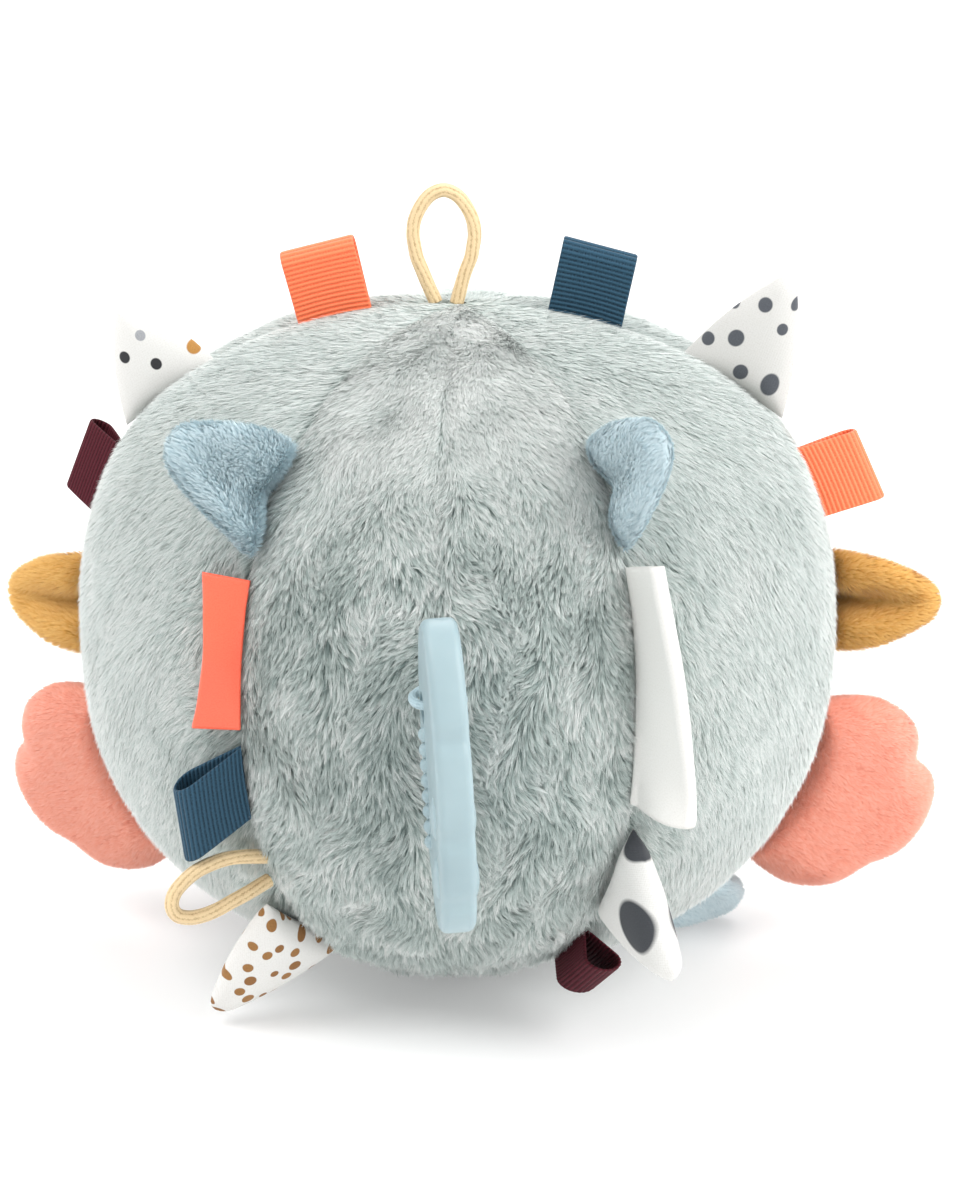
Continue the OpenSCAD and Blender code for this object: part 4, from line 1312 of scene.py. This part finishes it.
def folded_label():
    line, run = drop_line(LABEL_LEN, LABEL_FOLD_R, 0.5, 0.3)
    columns = np.linspace(-LABEL_W / 2, LABEL_W / 2, 61)

    def lean(y):
        return LABEL_LEAN_BOTTOM * (0.5 - y / LABEL_W) ** 2.0

    def place(local, share):
        local = local.copy()
        y = local[:, 1]
        high = (local[:, 2] / LABEL_LEN).clip(0, 1)
        near = np.exp(-(((y + LABEL_W / 2) / 6.0) ** 2))
        front = (local[:, 0] < 0) * np.sin(np.pi * high)
        local[:, 0] -= 2.4 * near * front
        local[:, 0] += 0.35 * high * np.sin(y / 6.5 + 1.0)
        return along_seam(local, 30, LABEL_E, lean, LABEL_HANG)

    piece = tape_mesh("folded_label_satin", line, columns, LABEL_T, place)
    finish_piece(piece, "folded_label", "folded_label", WHITE_SATIN)


flag_label()
folded_label()

# Printed cotton points, plush ears and velour feet, each a stuffed pouch

POINT_CELLS, POINT_T, POINT_EDGE, POINT_TIP_R, POINT_BOW = (24, 24), 7.5, 5.5, 2.6, 1.3
POINTS = (
    ("point_top_left", (-90, 40, 0, 15), 26.0, 21.5),
    ("point_top_right", (90, 43.5, 0, 12), 27.0, 25.5),
    ("point_low_left", (-30, -40, -40, -15), 27.0, 26.5),
    ("point_low_right", (30, -25, 0, -2), 27.0, 26.5),
)
for node, spot, width, length in POINTS:
    cut = pointed_outline(width, length, POINT_TIP_R, POINT_BOW)
    piece = seated_pouch(node + "_pouch", cut, spot, length, POINT_CELLS, POINT_T, POINT_EDGE)
    finish_piece(piece, node, node, PRINTS[node])

EAR_CELLS, EAR_T, EAR_EDGE, EAR_BOW, EAR_BLADES = (24, 20), 8.0, 7.0, 1.6, (32000, 1.8, 0.18, 0.5)
# How its pile rises and droops, and how much paler it is painted as painted light, for an ear that is seen
# from the side and for one that is seen end on
SIDE_ON, END_ON = (0.85, 0.5, 0.03), (0.3, 0.05, 0.14)
EAR_LOOKS = {"blue_plush": BLUE, "mustard_plush": MUSTARD}
EARS = (
    ("ear_back_left", (-30, 32, -20, 1), 25.0, 24.8, 5.8, (4.5, 3.2, 4.5), "blue_plush", 21, SIDE_ON),
    ("ear_back_right", (30, 33.6, -1, 0), 25.0, 24.5, 6.4, (-1.5, -3.6, 4.5), "blue_plush", 22, END_ON),
    ("ear_low_front", (90, -50.8, 55, 12), 19.0, 24.5, 4.5, (-3.0, -1.5, 4.5), "blue_plush", 23, SIDE_ON),
    ("ear_left", (-90, 3, -33, -4), 22.5, 23.0, 5.4, (3.0, 8.0, 2.8), "mustard_plush", 24, SIDE_ON),
    ("ear_right", (90, 5.4, 0, -4), 22.5, 21.8, 5.4, (-3.0, -8.0, 2.8), "mustard_plush", 25, SIDE_ON),
)
for node, spot, width, length, tip_r, folds, slot, seed, lie in EARS:
    cut = pointed_outline(width, length, tip_r, EAR_BOW)
    piece = seated_pouch(node + "_pouch", cut, spot, length, EAR_CELLS, EAR_T, EAR_EDGE, *folds)
    plush_over(piece, spot, seed, *EAR_BLADES, *lie)
    finish_piece(piece, node, node, EAR_LOOKS[slot])

FOOT_CELLS, FOOT_T, FOOT_EDGE, FOOT_LEN, FOOT_BLADES = (40, 26), 12.0, 6.5, 36.0, (60000, 1.2, 0.22, 0.2)
FOOT_W, TOE_R, TOE_CENTRE, UPPER_NOTCH, LOWER_NOTCH = 38.0, 24.3, 12.2, 4.8, 3.2
FEET = (
    ("foot_left", (-90, -25, -35, 4), 31),
    ("foot_right", (90, -24.5, 25, 4), 32),
)
for node, spot, seed in FEET:
    cut = toed_outline(FOOT_W, TOE_R, TOE_CENTRE, UPPER_NOTCH, LOWER_NOTCH)
    piece = seated_pouch(node + "_pouch", cut, spot, FOOT_LEN, FOOT_CELLS, FOOT_T, FOOT_EDGE)
    plush_over(piece, spot, seed, *FOOT_BLADES)
    finish_piece(piece, node, node, PINK)
